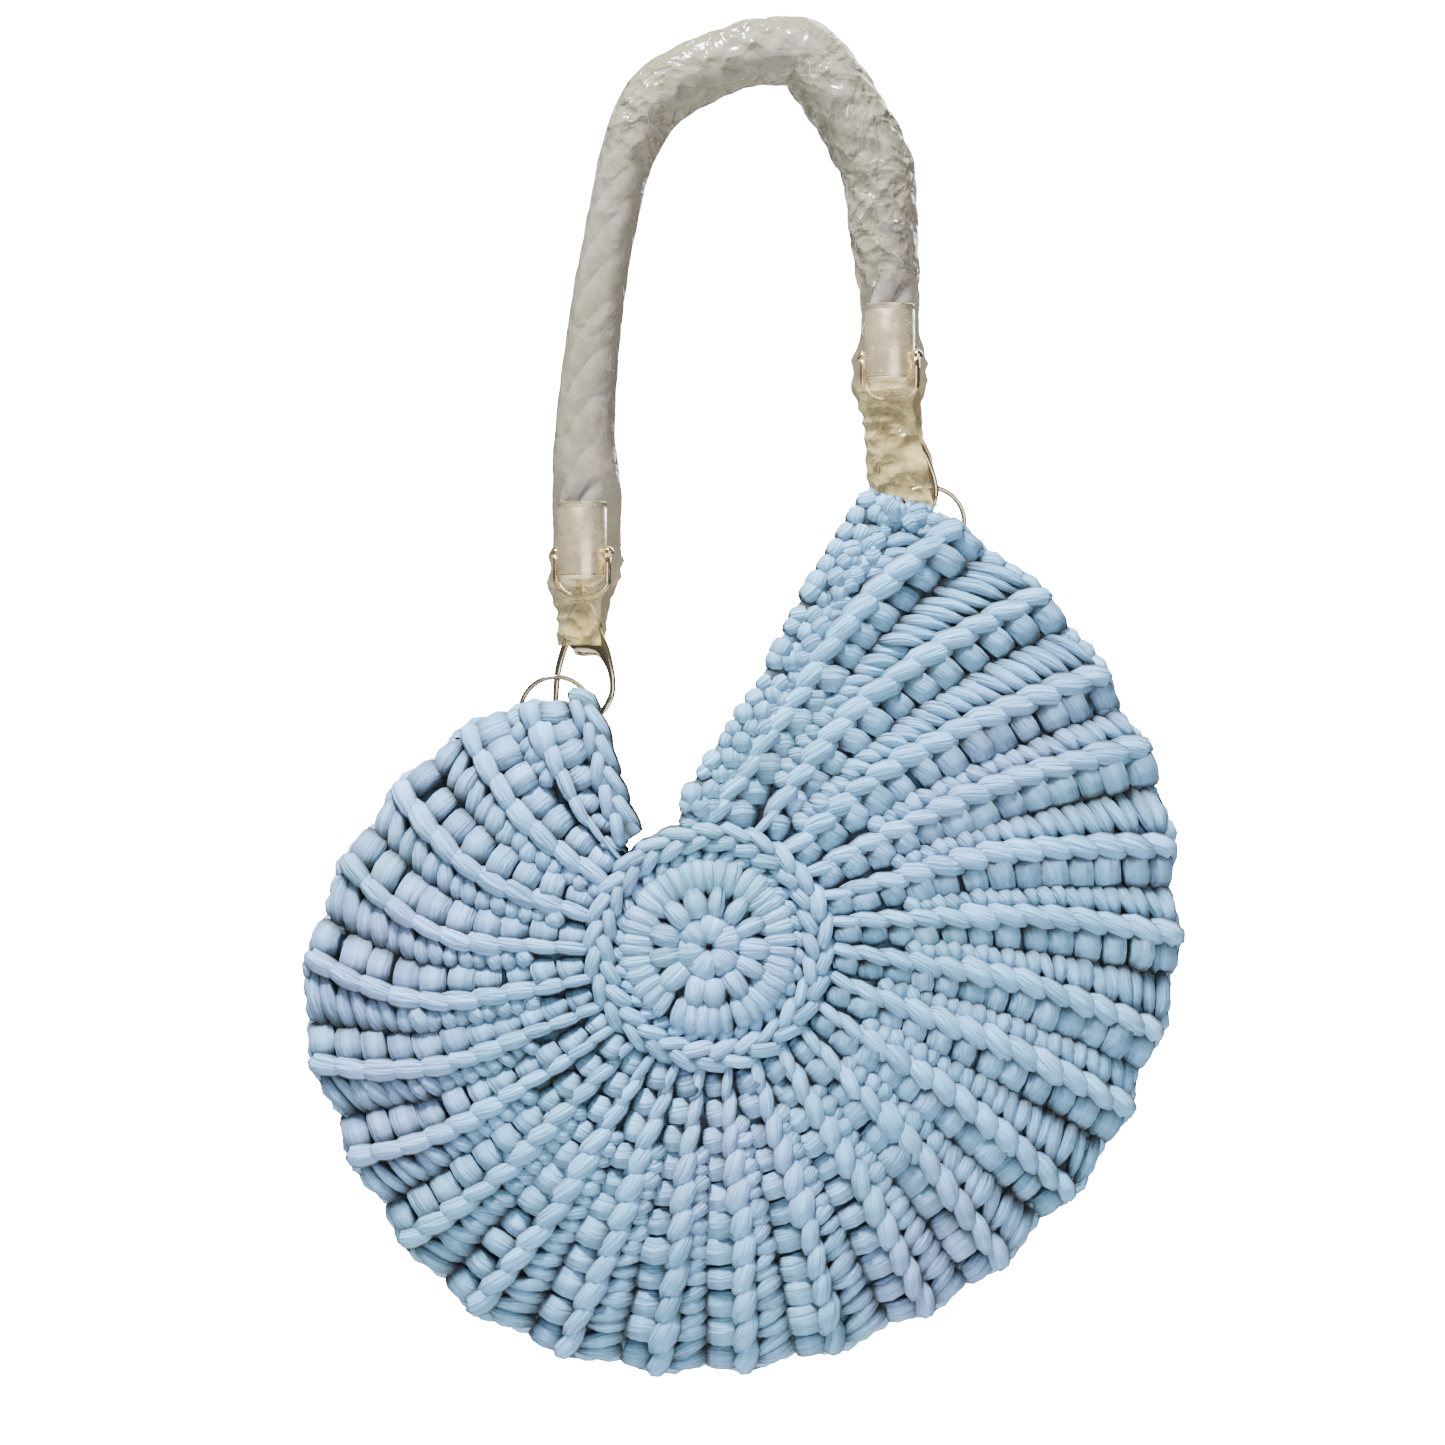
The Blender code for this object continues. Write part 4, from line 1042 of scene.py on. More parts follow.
def film_look(tree, shader):
    """Clear wrapping film: milky where it lies slack, with painted highlights on its creases and a painted
    reflection of the gold on its flaps.
    """
    handle = settings().handle
    where = places(tree)
    sway = node(tree, "ShaderNodeTexNoise", Vector=where, Scale=45.0, Detail=2.0)
    bent = tree.nodes.new("ShaderNodeVectorMath")
    put(tree, bent.inputs[0], where)
    put(tree, bent.inputs[1], scaled(tree, sway.outputs["Color"], 0.02))
    bent = bent.outputs[0]
    crumple = attribute(tree, "crumple")
    # Painted highlights: whiter, less clear strokes along the crease lines.
    crease_highlights = ramp(tree, cells(tree, bent, 90.0, "DISTANCE_TO_EDGE"), 0.0, 0.035, 1.0, 0.0)
    crease_highlights = math_node(tree, "MULTIPLY", crease_highlights, ramp(tree, noise(tree, where, 70.0), 0.60, 0.66))
    crease_highlights = math_node(tree, "MULTIPLY", crease_highlights, crumple)
    haze = ramp(tree, noise(tree, where, 60.0, 3.0, 0.6), 0.35, 0.7,
                handle.film_haze * 0.8, handle.film_haze * 1.25)
    haze = math_node(tree, "MULTIPLY", haze, attribute(tree, "slack"))
    milky = mixed(tree, ramp(tree, noise(tree, where, 11.0, 1.0), 0.42, 0.62), handle.film_colour,
                  tint(handle.film_colour, 1.08, 1.02, 1.18))
    # Painted reflection: the flaps over the plated parts take the gold colour, lighter and darker in
    # patches.
    glint = mixed(tree, ramp(tree, noise(tree, where, 85.0), 0.40, 0.60),
                  tint(handle.film_glint, 0.55), tint(handle.film_glint, 1.25))
    milky = mixed(tree, attribute(tree, "warm"), milky, glint)
    folds = math_node(tree, "ADD", cells(tree, bent, 105.0),
                      math_node(tree, "MULTIPLY", cells(tree, bent, 260.0), 0.35))
    look(tree, shader, Alpha=math_node(tree, "ADD", haze, math_node(tree, "MULTIPLY", crease_highlights, 0.45)),
         Base_Color=mixed(tree, crease_highlights, milky, (0.80, 0.79, 0.75)), Roughness=0.17,
         Specular_IOR_Level=0.60,
         Normal=bumped(tree, folds, 0.0034, ramp(tree, crumple, 0.2, 1.0, 0.12, 0.9)))


def plating_look(tree, shader, base, roughness, metallic):
    """Pale gold with faint polishing marks."""
    where = places(tree)
    cloud = noise(tree, where, 220.0, 3.0)
    marks = noise(tree, stretched(tree, where, (1.0, 1.0, 0.12)), 1500.0)
    look(tree, shader, Base_Color=mixed(tree, ramp(tree, cloud, 0.35, 0.7), base, tint(base, 0.88)),
         Metallic=metallic, Roughness=ramp(tree, cloud, 0.3, 0.7, roughness * 0.8, roughness * 1.3),
         Normal=bumped(tree, marks, 0.00003, 0.3))


def gold_look(tree, shader):
    hardware = settings().hardware
    plating_look(tree, shader, hardware.gold, hardware.roughness, 1.0)


def brushed_look(tree, shader):
    hardware = settings().hardware
    plating_look(tree, shader, hardware.cap_gold, hardware.cap_roughness, 0.82)


def stage_look(tree, shader):
    base = settings().stage.backdrop
    look(tree, shader, Roughness=0.9,
         Base_Color=mixed(tree, noise(tree, places(tree), 3.0), tint(base, 0.93), tint(base, 0.91)))


LOOKS = {"blue_yarn": yarn_look, "yarn_backing_shaded": backing_look, "rope_cotton": rope_look,
         "clear_film": film_look, "pale_gold": gold_look, "brushed_gold": brushed_look,
         "pale_stage": stage_look}


def material(name):
    made = bpy.data.materials.get(name)
    if made is None:
        made = bpy.data.materials.new(name)
        made.use_nodes = True
        LOOKS[name](made.node_tree, made.node_tree.nodes["Principled BSDF"])
    return made


# Hook and cap places

def o_ring_centre(side):
    return Vector(polar(side.ring_angle, rim_radius(side.ring_angle % 360.0) - side.ring_sink))


def hook_frame(side):
    turned = (Matrix.Rotation(math.radians(side.tilt), 4, "Y") @ Matrix.Rotation(-HOOK_YAW, 4, "Z")
              @ Matrix.Rotation(math.radians(-side.pitch), 4, "X"))
    bottom = o_ring_centre(side) + Vector((side.claw_x * O_RING_RADIUS, side.claw_y,
                                           side.claw_z * O_RING_RADIUS))
    return Matrix.Translation(bottom + turned @ Vector((0.0, 0.0, HOOK_LENGTH))) @ turned


def lean(side, reach):
    axis = hook_frame(side).col[2].to_3d().normalized()
    return reach * math.sqrt(max(0.0, 1.0 - axis.z ** 2))


def stirrup_gap(side):
    return CLEARANCE + lean(side, HEAD_WIDTH * HEAD_TOP_SHARE / 2)


def yoke_radius():
    return CAP_DIAMETER / 2 + 2 * CLEARANCE + YOKE_THICKNESS / 2


def yoke_sag():
    return yoke_radius() * 0.62


def knob_reach():
    return YOKE_WIDTH * 0.62


def yoke_top():
    return YOKE_THICKNESS / 2 + yoke_sag() + YOKE_RISE + knob_reach()


def stem_reach(side):
    bend_rise = yoke_sag() * (1.0 - math.cos(math.pi / YOKE_BENDS))
    return (stirrup_gap(side) + YOKE_THICKNESS + bend_rise + CLEARANCE
            + lean(side, STEM_HEAD_DIAMETER / 2))


def upright_frame(side):
    top = hook_frame(side).translation + Vector((0.0, 0.0, stirrup_gap(side)))
    return Matrix.Translation(top) @ Matrix.Rotation(-HOOK_YAW, 4, "Z")


def cap_bottom(side):
    return (stem_reach(side) - stirrup_gap(side) + STEM_HEAD_HEIGHT + CLEARANCE
            + lean(side, STEM_HEAD_DIAMETER / 2))


def cap_mouth(side):
    return cap_bottom(side) + CAP_DOME + CAP_TUBE


def cap_point(side, height):
    return np.array(upright_frame(side) @ Vector((0.0, 0.0, height)))


def film_radius(along):
    slack = float(np.interp(along, *zip(*FILM_SLACKS)))
    return ROPE_DIAMETER / 2 + CLEARANCE + FILM + FILM_SLACK * slack


def handle_route():
    """The rope's middle line from the left cap over the top to the right cap."""
    top = np.array((0.0, 0.0, film_radius(FILM_TOP_SHARE)))
    route = []
    for side, leg in zip(SIDES, (LEFT_LEG, RIGHT_LEG)):
        seat, mouth = cap_bottom(side) + CAP_DOME + CLEARANCE, cap_mouth(side)
        end = cap_point(side, mouth)
        points = [top + (end - top) * (across, down, down) for across, down in leg]
        route.append([cap_point(side, seat), cap_point(side, (seat + mouth) / 2), end, *reversed(points)])
    return [*route[0], top, *reversed(route[1])]


# Operators

class BAG_OT_stage(bpy.types.Operator):
    """Adds the pale floor and backdrop, the soft lights and the camera"""
    bl_idname = "bag.stage"
    bl_label = "Stage"

    def execute(self, context):
        stage = settings().stage
        middle = Vector(((PHOTO_MIDDLE - HANG_PIXEL[0]) * stage.pixel, 0.0,
                         (HANG_PIXEL[1] - PHOTO_MIDDLE) * stage.pixel))
        lens = bpy.data.cameras.new("camera")
        camera = bpy.data.objects.new("camera", lens)
        context.scene.collection.objects.link(camera)
        camera.location = middle - Vector((0.0, stage.distance, 0.0))
        camera.rotation_euler = (math.radians(90), 0.0, 0.0)
        lens.sensor_width = SENSOR
        lens.lens = SENSOR * (stage.distance - FILM_FRONT) / (PHOTO_SIDE * stage.pixel)
        context.scene.camera = camera
        fresh()
        bpy.ops.mesh.primitive_plane_add(
            size=FLOOR_SIDE, location=(middle.x, 0.0, CAD_BOX[0][2] - stage.floor_drop))
        floor = context.object
        floor.name = "floor"
        floor.data.materials.append(material("pale_stage"))
        context.scene.world = self.room(stage)
        for lamp in LAMPS:
            data = bpy.data.lights.new(lamp.name, "AREA")
            data.shape = "RECTANGLE"
            data.size, data.size_y, data.energy = lamp.width, lamp.height, lamp.power
            obj = bpy.data.objects.new(lamp.name, data)
            context.scene.collection.objects.link(obj)
            obj.location = lamp.place
            obj.rotation_euler = (middle - obj.location).to_track_quat("-Z", "Y").to_euler()
        return {"FINISHED"}

    def room(self, stage):
        """A soft room lights the bag, and a pale backdrop is seen behind it; through the film the backdrop
        is painted dark beige as painted shade.
        """
        world = bpy.data.worlds.new("soft_room")
        world.use_nodes = True
        tree = world.node_tree
        room = tree.nodes["Background"]
        way = node(tree, "ShaderNodeSeparateXYZ", Vector=places(tree, "Generated"))
        look(tree, room, Color=(1.0, 1.0, 1.0),
             Strength=ramp(tree, way.outputs["Z"], -0.7, 0.8, stage.low_light, stage.room_light))
        seen = tree.nodes.new("ShaderNodeLightPath")
        # Painted shade: camera rays that pass through the film see the backdrop as a dim dark beige instead
        # of the glowing paper.
        through_film = math_node(tree, "GREATER_THAN", seen.outputs["Transparent Depth"], 0.5)
        paper = node(tree, "ShaderNodeBackground",
                     Color=mixed(tree, through_film, stage.backdrop, stage.behind_film),
                     Strength=ramp(tree, through_film, 0.0, 1.0, stage.glow, 1.0))
        either = tree.nodes.new("ShaderNodeMixShader")
        for index, value in enumerate((seen.outputs["Is Camera Ray"], room.outputs[0], paper.outputs[0])):
            put(tree, either.inputs[index], value)
        put(tree, tree.nodes["World Output"].inputs[0], either.outputs[0])
        return world


class BAG_OT_rope(bpy.types.Operator):
    """Lays three strands round each other along the handle"""
    bl_idname = "bag.rope"
    bl_label = "Rope"

    def execute(self, context):
        route, length = smooth_route(handle_route(), ROPE_RINGS)
        first, second = tube_frames(route)
        radius = ROPE_DIAMETER / 2 / (1.0 + STRAND_OFFSET)
        strands = []
        for strand in range(STRANDS):
            lay = np.linspace(0.0, length / ROPE_TWIST, len(route)) * 2 * math.pi
            lay += strand * 2 * math.pi / STRANDS
            out = first * np.cos(lay)[:, None] + second * np.sin(lay)[:, None]
            middle = route + out * radius * STRAND_OFFSET
            strands.append(sweep(f"strand_{strand}", middle, *tube_frames(middle), radius, radius, 12,
                                 twist=lay * 1.6))
        rope = joined(strands)
        rope.name = "rope"
        finish_piece(rope, "bag", material("rope_cotton"), ["strap_rope"])
        return {"FINISHED"}


class BAG_OT_film(bpy.types.Operator):
    """Wraps the crinkled clear film round the handle"""
    bl_idname = "bag.film"
    bl_label = "Film"

    def execute(self, context):
        verts, slack, crumples = self.sleeve()
        faces = grid_faces(FILM_RINGS, FILM_SIDES)
        # The flaps over the hooks are marked for the painted reflection of the gold; the sleeve is not.
        warm = [0.0] * len(verts)
        for side in SIDES:
            for way in (-1.0, 1.0):
                sheet, sheet_faces, milky = self.skirt(side, way, len(verts))
                verts += sheet
                faces += sheet_faces
                slack += milky
                crumples += [FLAP_CRUMPLE] * len(sheet)
                warm += [1.0] * len(sheet)
        film = mesh_object("film", verts, faces)
        point_values(film, slack=slack, warm=warm, crumple=crumples)
        recalculate(film)
        wall = film.modifiers.new("wall", "SOLIDIFY")
        wall.thickness = FILM * 0.5
        wall.offset = 0.0
        apply_all(film)
        smooth_below(24)
        finish_piece(film, "bag", material("clear_film"), ["strap_film"])
        return {"FINISHED"}

    def sleeve(self):
        """The sleeve's points, with how milky and how crumpled it is at each."""
        points = handle_route()
        ends = [cap_point(side, yoke_top() + CLEARANCE) for side in SIDES]
        line, _ = smooth_route([ends[0], *points[2:-2], ends[1]], FILM_RINGS)
        first, second = tube_frames(line)
        random = np.random.default_rng(FILM_SEED)
        waves = [(random.uniform(2, 6), random.uniform(30, 110), random.uniform(0, 6.28),
                  random.uniform(0.3, 1.0)) for _ in range(FILM_WAVES)]
        mouths = [cap_point(side, cap_mouth(side))[2] for side in SIDES]
        crinkle = settings().handle.crinkle
        over_cap = CAP_DIAMETER / 2 + 2 * CLEARANCE + FILM
        over_rope = ROPE_DIAMETER / 2 + 2 * CLEARANCE
        verts, slack, crumples = [], [], []
        for i, centre in enumerate(line):
            along = i / (FILM_RINGS - 1)
            crumple = float(np.interp(along, *zip(*CRUMPLES)))
            crumples += [crumple] * FILM_SIDES
            slack += [0.16 + 0.84 * smoothstep(0.060, 0.085, min(along, 1.0 - along))] * FILM_SIDES
            level = mouths[0] if along < 0.5 else mouths[1]
            hang = 1.0 - smoothstep(level, level + 0.03, centre[2])
            loose = CAP_SLACK * hang if along < 0.5 else 0.0
            least, radius = over_rope, film_radius(along)
            if centre[2] < level + 0.004:
                least, radius = over_cap, max(radius, over_cap)
            least += loose
            radius += loose
            strength = min(1.0, 0.3 + (radius - ROPE_DIAMETER / 2) * 160.0) * (0.5 + crumple)
            for j in range(FILM_SIDES):
                turn = 2 * math.pi * j / FILM_SIDES
                wave = sum(size * (abs(math.sin(round(lobes) * turn + along * pace + phase)) - 0.5)
                           for lobes, pace, phase, size in waves)
                reach = max(least, radius + crinkle * wave * strength * 0.45)
                verts.append(centre + np.array((loose, 0.0, 0.0))
                             + (first[i] * math.cos(turn) + second[i] * math.sin(turn)) * reach)
        return verts, slack, crumples

    def skirt(self, side, way, base):
        """A loose crumpled flap of film in front of or behind the stirrup and the hook."""
        table = FILM_SKIRTS[side.name]
        count = 8 * len(table)
        upright, hook = upright_frame(side), hook_frame(side)
        most = 0.95 if side.name == "right" else 0.65
        verts, milky = [], []
        for height, half_width, half_depth in catmull(np.array(table), np.linspace(0.0, 1.0, count)):
            milky += [mix(most, 0.12, smoothstep(0.002, 0.012, height))] * FLAP_COLUMNS
            middle = (upright if height > 0.0 else hook) @ Vector((0.0, 0.0, height))
            if side.name == "left":
                middle.x += 0.0020 * smoothstep(0.0, 0.018, height)
            for j in range(FLAP_COLUMNS):
                turn = math.radians(mix(*FLAP_ARC, j / (FLAP_COLUMNS - 1)))
                sway = math.sin(1.7 * turn + 120.0 * height) + math.sin(90.0 * height + 3.1 * way)
                fold = sum(size * (1.0 - abs(math.sin(bend)))
                           for size, bend in ((0.0013, 1.3 * turn + 150.0 * height + sway),
                                              (0.0011, 2.1 * turn - 210.0 * height + 1.6 * sway + way),
                                              (0.0005, 5.3 * turn + 310.0 * height - 2.0 * sway)))
                fold *= 1.0 - smoothstep(0.0200, 0.0340, height)
                place = Vector(((half_width + fold) * math.cos(turn),
                                way * (half_depth + fold) * math.sin(turn), 0.0))
                verts.append(np.array(middle + upright.to_3x3() @ place))
        sheet = grid_faces(count, FLAP_COLUMNS, closed=False)
        return verts, [tuple(base + v for v in face) for face in sheet], milky


class BAG_OT_panels(bpy.types.Operator):
    """Works the two ribbed panels, stitch by stitch, on their walls"""
    bl_idname = "bag.panels"
    bl_label = "Panels"

    def execute(self, context):
        pile = StitchPile(StitchForm(), settings().yarn.seed)
        for rib in range(len(RIB_LINES) - 1):
            rib_stitches(pile, rib)
            rim_stitches(pile, rib)
        peak_strands(pile)
        for name, mirrored in FACES:
            stitches = pile.build(name + "_stitches", mirrored)
            finish_piece(stitches, "bag", material("blue_yarn"))
            wall = self.wall(name + "_wall", mirrored)
            finish_piece(wall, "bag", material("yarn_backing_shaded"), [name + "_panel"])
        return {"FINISHED"}

    def wall(self, name, mirrored):
        """The cloth under the stitches, from its inner face to just below their tops."""
        steps, ribs = 4, len(RIB_LINES) - 1
        rows, columns = len(WALL_REACHES), ribs * steps + 1
        points = []
        for outer in (1.0, 0.0):
            for reach in WALL_REACHES:
                cloth = cloth_rise(reach)[0] * 0.55
                for column in range(columns):
                    rib = min(column // steps, ribs - 1)
                    share = column / steps - rib
                    top = outer * (cloth + 0.0008 * math.sin(math.pi * share))
                    points.append(panel_point(rib, share, reach, top))
        sheet = grid_faces(rows, columns, closed=False)
        shift = rows * columns
        rim = [(row * columns + i, row * columns + i + 1)
               for i in range(columns - 1) for row in (0, rows - 1)]
        rim += [(k * columns + column, (k + 1) * columns + column)
                for k in range(rows - 1) for column in (0, columns - 1)]
        faces = [*sheet, *(tuple(v + shift for v in face) for face in sheet),
                 *((a, b, b + shift, a + shift) for a, b in rim)]
        obj = mesh_object(name, np.array(points) * (1.0, -1.0 if mirrored else 1.0, 1.0), faces)
        recalculate(obj)
        return obj


class BAG_OT_rosettes(bpy.types.Operator):
    """Works the petalled rosettes and the chains round them"""
    bl_idname = "bag.rosettes"
    bl_label = "Rosettes"

    def execute(self, context):
        form = StitchForm()
        pile = StitchPile(form, settings().yarn.seed + 1)
        self.petals(pile)
        ring = StitchPile(form, settings().yarn.seed + 2)
        middle = ROSETTE_RADIUS + CLEARANCE + RING_BRAID_WIDTH / 2
        depth = -(INSIDE_HALF_DEPTH + RING_BRAID_DEPTH * 0.56)
        angles = np.linspace(0.0, 360.0, 97)
        chain(ring, [polar(angle, middle, depth) for angle in angles],
              [unit(polar(angle, 1.0) - rosette_centre()) for angle in angles],
              RING_BRAID_WIDTH / 2 + 0.0002, RING_BRAID_DEPTH / 2, 0.0118, loop=True)
        for name, mirrored in FACES:
            finish_piece(pile.build(name + "_petals", mirrored), "bag", material("blue_yarn"))
            finish_piece(ring.build(name + "_ring_chain", mirrored), "bag", material("blue_yarn"))
            self.disc(name, 1.0 if mirrored else -1.0)
        return {"FINISHED"}

    def petals(self, pile):
        """The button in the middle, the petals round it and the stitches at the rim."""
        top = INSIDE_HALF_DEPTH + ROSETTE_THICKNESS

        def strand(stops, widths, depths, tone, size=1.0, merged=False):
            path = [polar(angle, radius, -(top + lift)) for angle, radius, lift in stops]
            pile.lay(path, FRONT, np.array(widths) * size, depths, tone, merged=merged)

        for i in range(6):
            angle = 60.0 * i + 12.0 + pile.random.normal(0.0, 4.0)
            strand([(angle, 0.0008, -0.0016), (angle, 0.0082, 0.0006), (angle + 5.0, 0.0156, -0.0022)],
                   (0.0040, 0.0070, 0.0084), (0.0034, 0.0046, 0.0038), 0.05, pile.vary(0.08))
        for i in range(PETALS):
            angle = 360.0 * (i + 0.3) / PETALS + pile.random.normal(0.0, 2.0)
            bend = pile.random.normal(0.0, 3.0)
            for lane in (-1.0, 0.0, 1.0):
                split = angle + lane * 360.0 / PETALS * 0.33
                size = pile.vary(0.12)
                far = 0.0398 + pile.random.normal(0.0, 0.0012)
                strand([(mix(angle, split, 0.35), 0.0195 + 0.0010 * abs(lane), -0.0020),
                        (split + bend * 0.4, 0.0280, 0.0002), (split + bend * 0.8, 0.0345, 0.0002),
                        (split + bend, far, -0.0030)], (0.0024, 0.0038, 0.0043, 0.0036),
                       (0.0028, 0.0036, 0.0038, 0.0032), -0.05, size, True)
            strand([(angle - bend * 0.3, 0.0136, -0.0026), (angle, 0.0186, 0.0012),
                    (angle + bend * 0.4, 0.0310, -0.0004)],
                   (0.0040, 0.0056, 0.0032), (0.0034, 0.0042, 0.0030), 0.04, pile.vary(0.12))
        for angle in np.arange(ROSETTE_RIM_STITCHES) * (360.0 / ROSETTE_RIM_STITCHES):
            strand([(angle - 4.0, 0.0362, -0.0028), (angle, 0.0392, -0.0010),
                    (angle + 4.5, 0.0424, -0.0034)], 0.0032, 0.0030, -0.05)

    def disc(self, name, way):
        """The cloth under the rosette and its chain."""
        for label, radius, thick, node_name in (
                ("_rosette_backing", ROSETTE_RADIUS, ROSETTE_THICKNESS * 0.72, "_rosette"),
                ("_chain_backing", ring_outer(), RING_BRAID_DEPTH * 0.6, "_ring_braid")):
            place = Vector(rosette_centre()) + Vector((0.0, way * (INSIDE_HALF_DEPTH + thick / 2), 0.0))
            disc = cylinder(name + label, 64, radius, thick, place)
            if label == "_chain_backing":
                bpy.ops.object.mode_set(mode="EDIT")
                bpy.ops.mesh.select_all(action="DESELECT")
                mesh = bmesh.from_edit_mesh(disc.data)
                for face in mesh.faces:
                    face.select = abs(face.normal.y) > 0.9
                bmesh.update_edit_mesh(disc.data)
                bpy.ops.mesh.inset(thickness=ring_outer() - ROSETTE_RADIUS - CLEARANCE)
                bpy.ops.mesh.bridge_edge_loops()
                bpy.ops.object.mode_set(mode="OBJECT")
            bevelled(disc, 0.0014)
            smooth_below(40)
            finish_piece(disc, "bag", material("yarn_backing_shaded"), [name + node_name])


class BAG_OT_edgings(bpy.types.Operator):
    """Works the plaited edging along both sides of the mouth"""
    bl_idname = "bag.edgings"
    bl_label = "Edgings"

    def execute(self, context):
        form = StitchForm()
        for side_name in ("right", "left"):
            pile = StitchPile(form, settings().yarn.seed + 3)
            centres, length = self.middle_line(side_name)
            acrosses = flat_sides(centres)
            if side_name == "left":
                chain(pile, centres, acrosses, EDGING_WIDTH / 2, EDGING_DEPTH / 2, 0.0125, tone=-0.04)
            else:
                self.bumps(pile, centres, acrosses, length)
            for name, mirrored in FACES:
                obj = pile.build(f"{name}_edging_stitches_{side_name}", mirrored)
                finish_piece(obj, "bag", material("blue_yarn"))
                core = sweep(f"{name}_edging_core_{side_name}",
                             centres * (1.0, -1.0 if mirrored else 1.0, 1.0), acrosses, FRONT,
                             EDGING_WIDTH * 0.47, EDGING_DEPTH * 0.40, 10)
                finish_piece(core, "bag", material("yarn_backing_shaded"),
                             [f"{name}_edging_{side_name}"])
        return {"FINISHED"}

    def middle_line(self, side_name):
        """The middle of the edging, from the chain round the rosette up to the peak."""
        line, _ = even_route(np.array(mouth_curve(side_name, EDGING_WIDTH / 2)), 90)
        seat = ring_outer() + EDGING_WIDTH / 2 * 0.62 + CLEARANCE
        line, length = even_route(np.array([point for point in line if from_rosette(point) > seat]), 60)
        peak = peak_line(side_name)
        span = BODY_RADIUS * peak.rim_share - ring_outer()
        for point in line:
            reach = (from_rosette(point) - ring_outer()) / span
            point[1] = -(inside_half_gap(peak.rim_angle, min(1.0, reach)) + EDGING_DEPTH / 2)
        return line, length

    def bumps(self, pile, centres, acrosses, length):
        """Columns of small round stitches."""
        count = round(length / 0.0083)
        for i in range(count):
            for lane in (-0.5, 0.42, 1.12):
                share = (i + 0.5 + lane * 0.5 + pile.random.normal(0.0, 0.12)) / count
                k = min(len(centres) - 2, max(1, round(share * (len(centres) - 1))))
                across = acrosses[k]
                middle = (centres[k] + across * lane * EDGING_WIDTH * 0.54
                          + FRONT * (0.0016 - 0.0008 * abs(lane)))
                way = unit(centres[k + 1] - centres[k - 1])
                slope = unit(way + across * pile.random.normal(0.0, 0.7))
                path = [middle - slope * 0.0034 - FRONT * 0.0016, middle + FRONT * 0.0006,
                        middle + slope * 0.0034 - FRONT * 0.0016]
                size = pile.vary(0.14)
                pile.lay(path, unit(FRONT + across * lane * 0.5),
                         np.array((0.0032, 0.0048, 0.0030)) * size, 0.0042 * size, -0.03)


class BAG_OT_ties(bpy.types.Operator):
    """Sews the seam stitches through the two rings"""
    bl_idname = "bag.ties"
    bl_label = "Ties"

    def execute(self, context):
        form = StitchForm()
        half = TIE_DIAMETER / 2
        for side in SIDES:
            low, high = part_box("yarn_tie_" + side.name)
            middle = (low + high) / 2
            pile = StitchPile(form, settings().yarn.seed + 4)
            for shift in (-0.45, 0.45):
                path = [np.array((middle.x + shift * half, depth, middle.z + 0.3 * shift * half))
                        for depth in (low.y - 0.0006, middle.y, high.y + 0.0006)]
                pile.lay(path, np.array((0.0, 0.0, 1.0)), half * 0.62, half * 0.95, -0.05)
            obj = pile.build("tie_" + side.name)
            finish_piece(obj, "bag", material("blue_yarn"), ["yarn_tie_" + side.name])
        return {"FINISHED"}


class BAG_OT_rings(bpy.types.Operator):
    """Makes the two rings that the hooks hold"""
    bl_idname = "bag.rings"
    bl_label = "Rings"

    def execute(self, context):
        for side in SIDES:
            fresh()
            bpy.ops.mesh.primitive_torus_add(
                major_radius=O_RING_RADIUS, minor_radius=O_RING_WIRE / 2, major_segments=72,
                minor_segments=14, location=o_ring_centre(side), rotation=(math.radians(90), 0.0, 0.0))
            ring = context.object
            ring.name = "ring_" + side.name
            bpy.ops.object.shade_smooth()
            finish_piece(ring, "bag", material("pale_gold"), ["o_ring_" + side.name])
        return {"FINISHED"}


def claw_rows():
    """Sideways and down from the head's top, with half width and half depth, to the claw's tip."""
    half, wire = HOOK_WIDTH / 2, HOOK_WIRE / 2
    head, thick = HEAD_WIDTH / 2, HEAD_THICKNESS / 2
    rows = [(0.0, 0.0, head * HEAD_TOP_SHARE, thick * 0.85), (0.0, 0.07, head * 0.66, thick),
            (0.02, 0.20, head, thick), (0.12, 0.29, head, thick * 0.95),
            (0.62, 0.40, head * 0.42, thick * 0.66), (0.87, 0.54, wire * 1.35, wire * 1.1),
            (0.97, 0.68, wire, wire), (0.93, 0.80, wire, wire), (0.66, 0.92, wire, wire),
            (0.14, 1.0, wire, wire), (-0.42, 0.962, wire, wire), (-0.80, 0.86, wire * 0.9, wire * 0.9)]
    return np.array(rows) * (half, HOOK_LENGTH, 1.0, 1.0)


def pivot_point():
    return Vector((-0.40 * HOOK_WIDTH / 2, 0.0, -0.265 * HOOK_LENGTH))


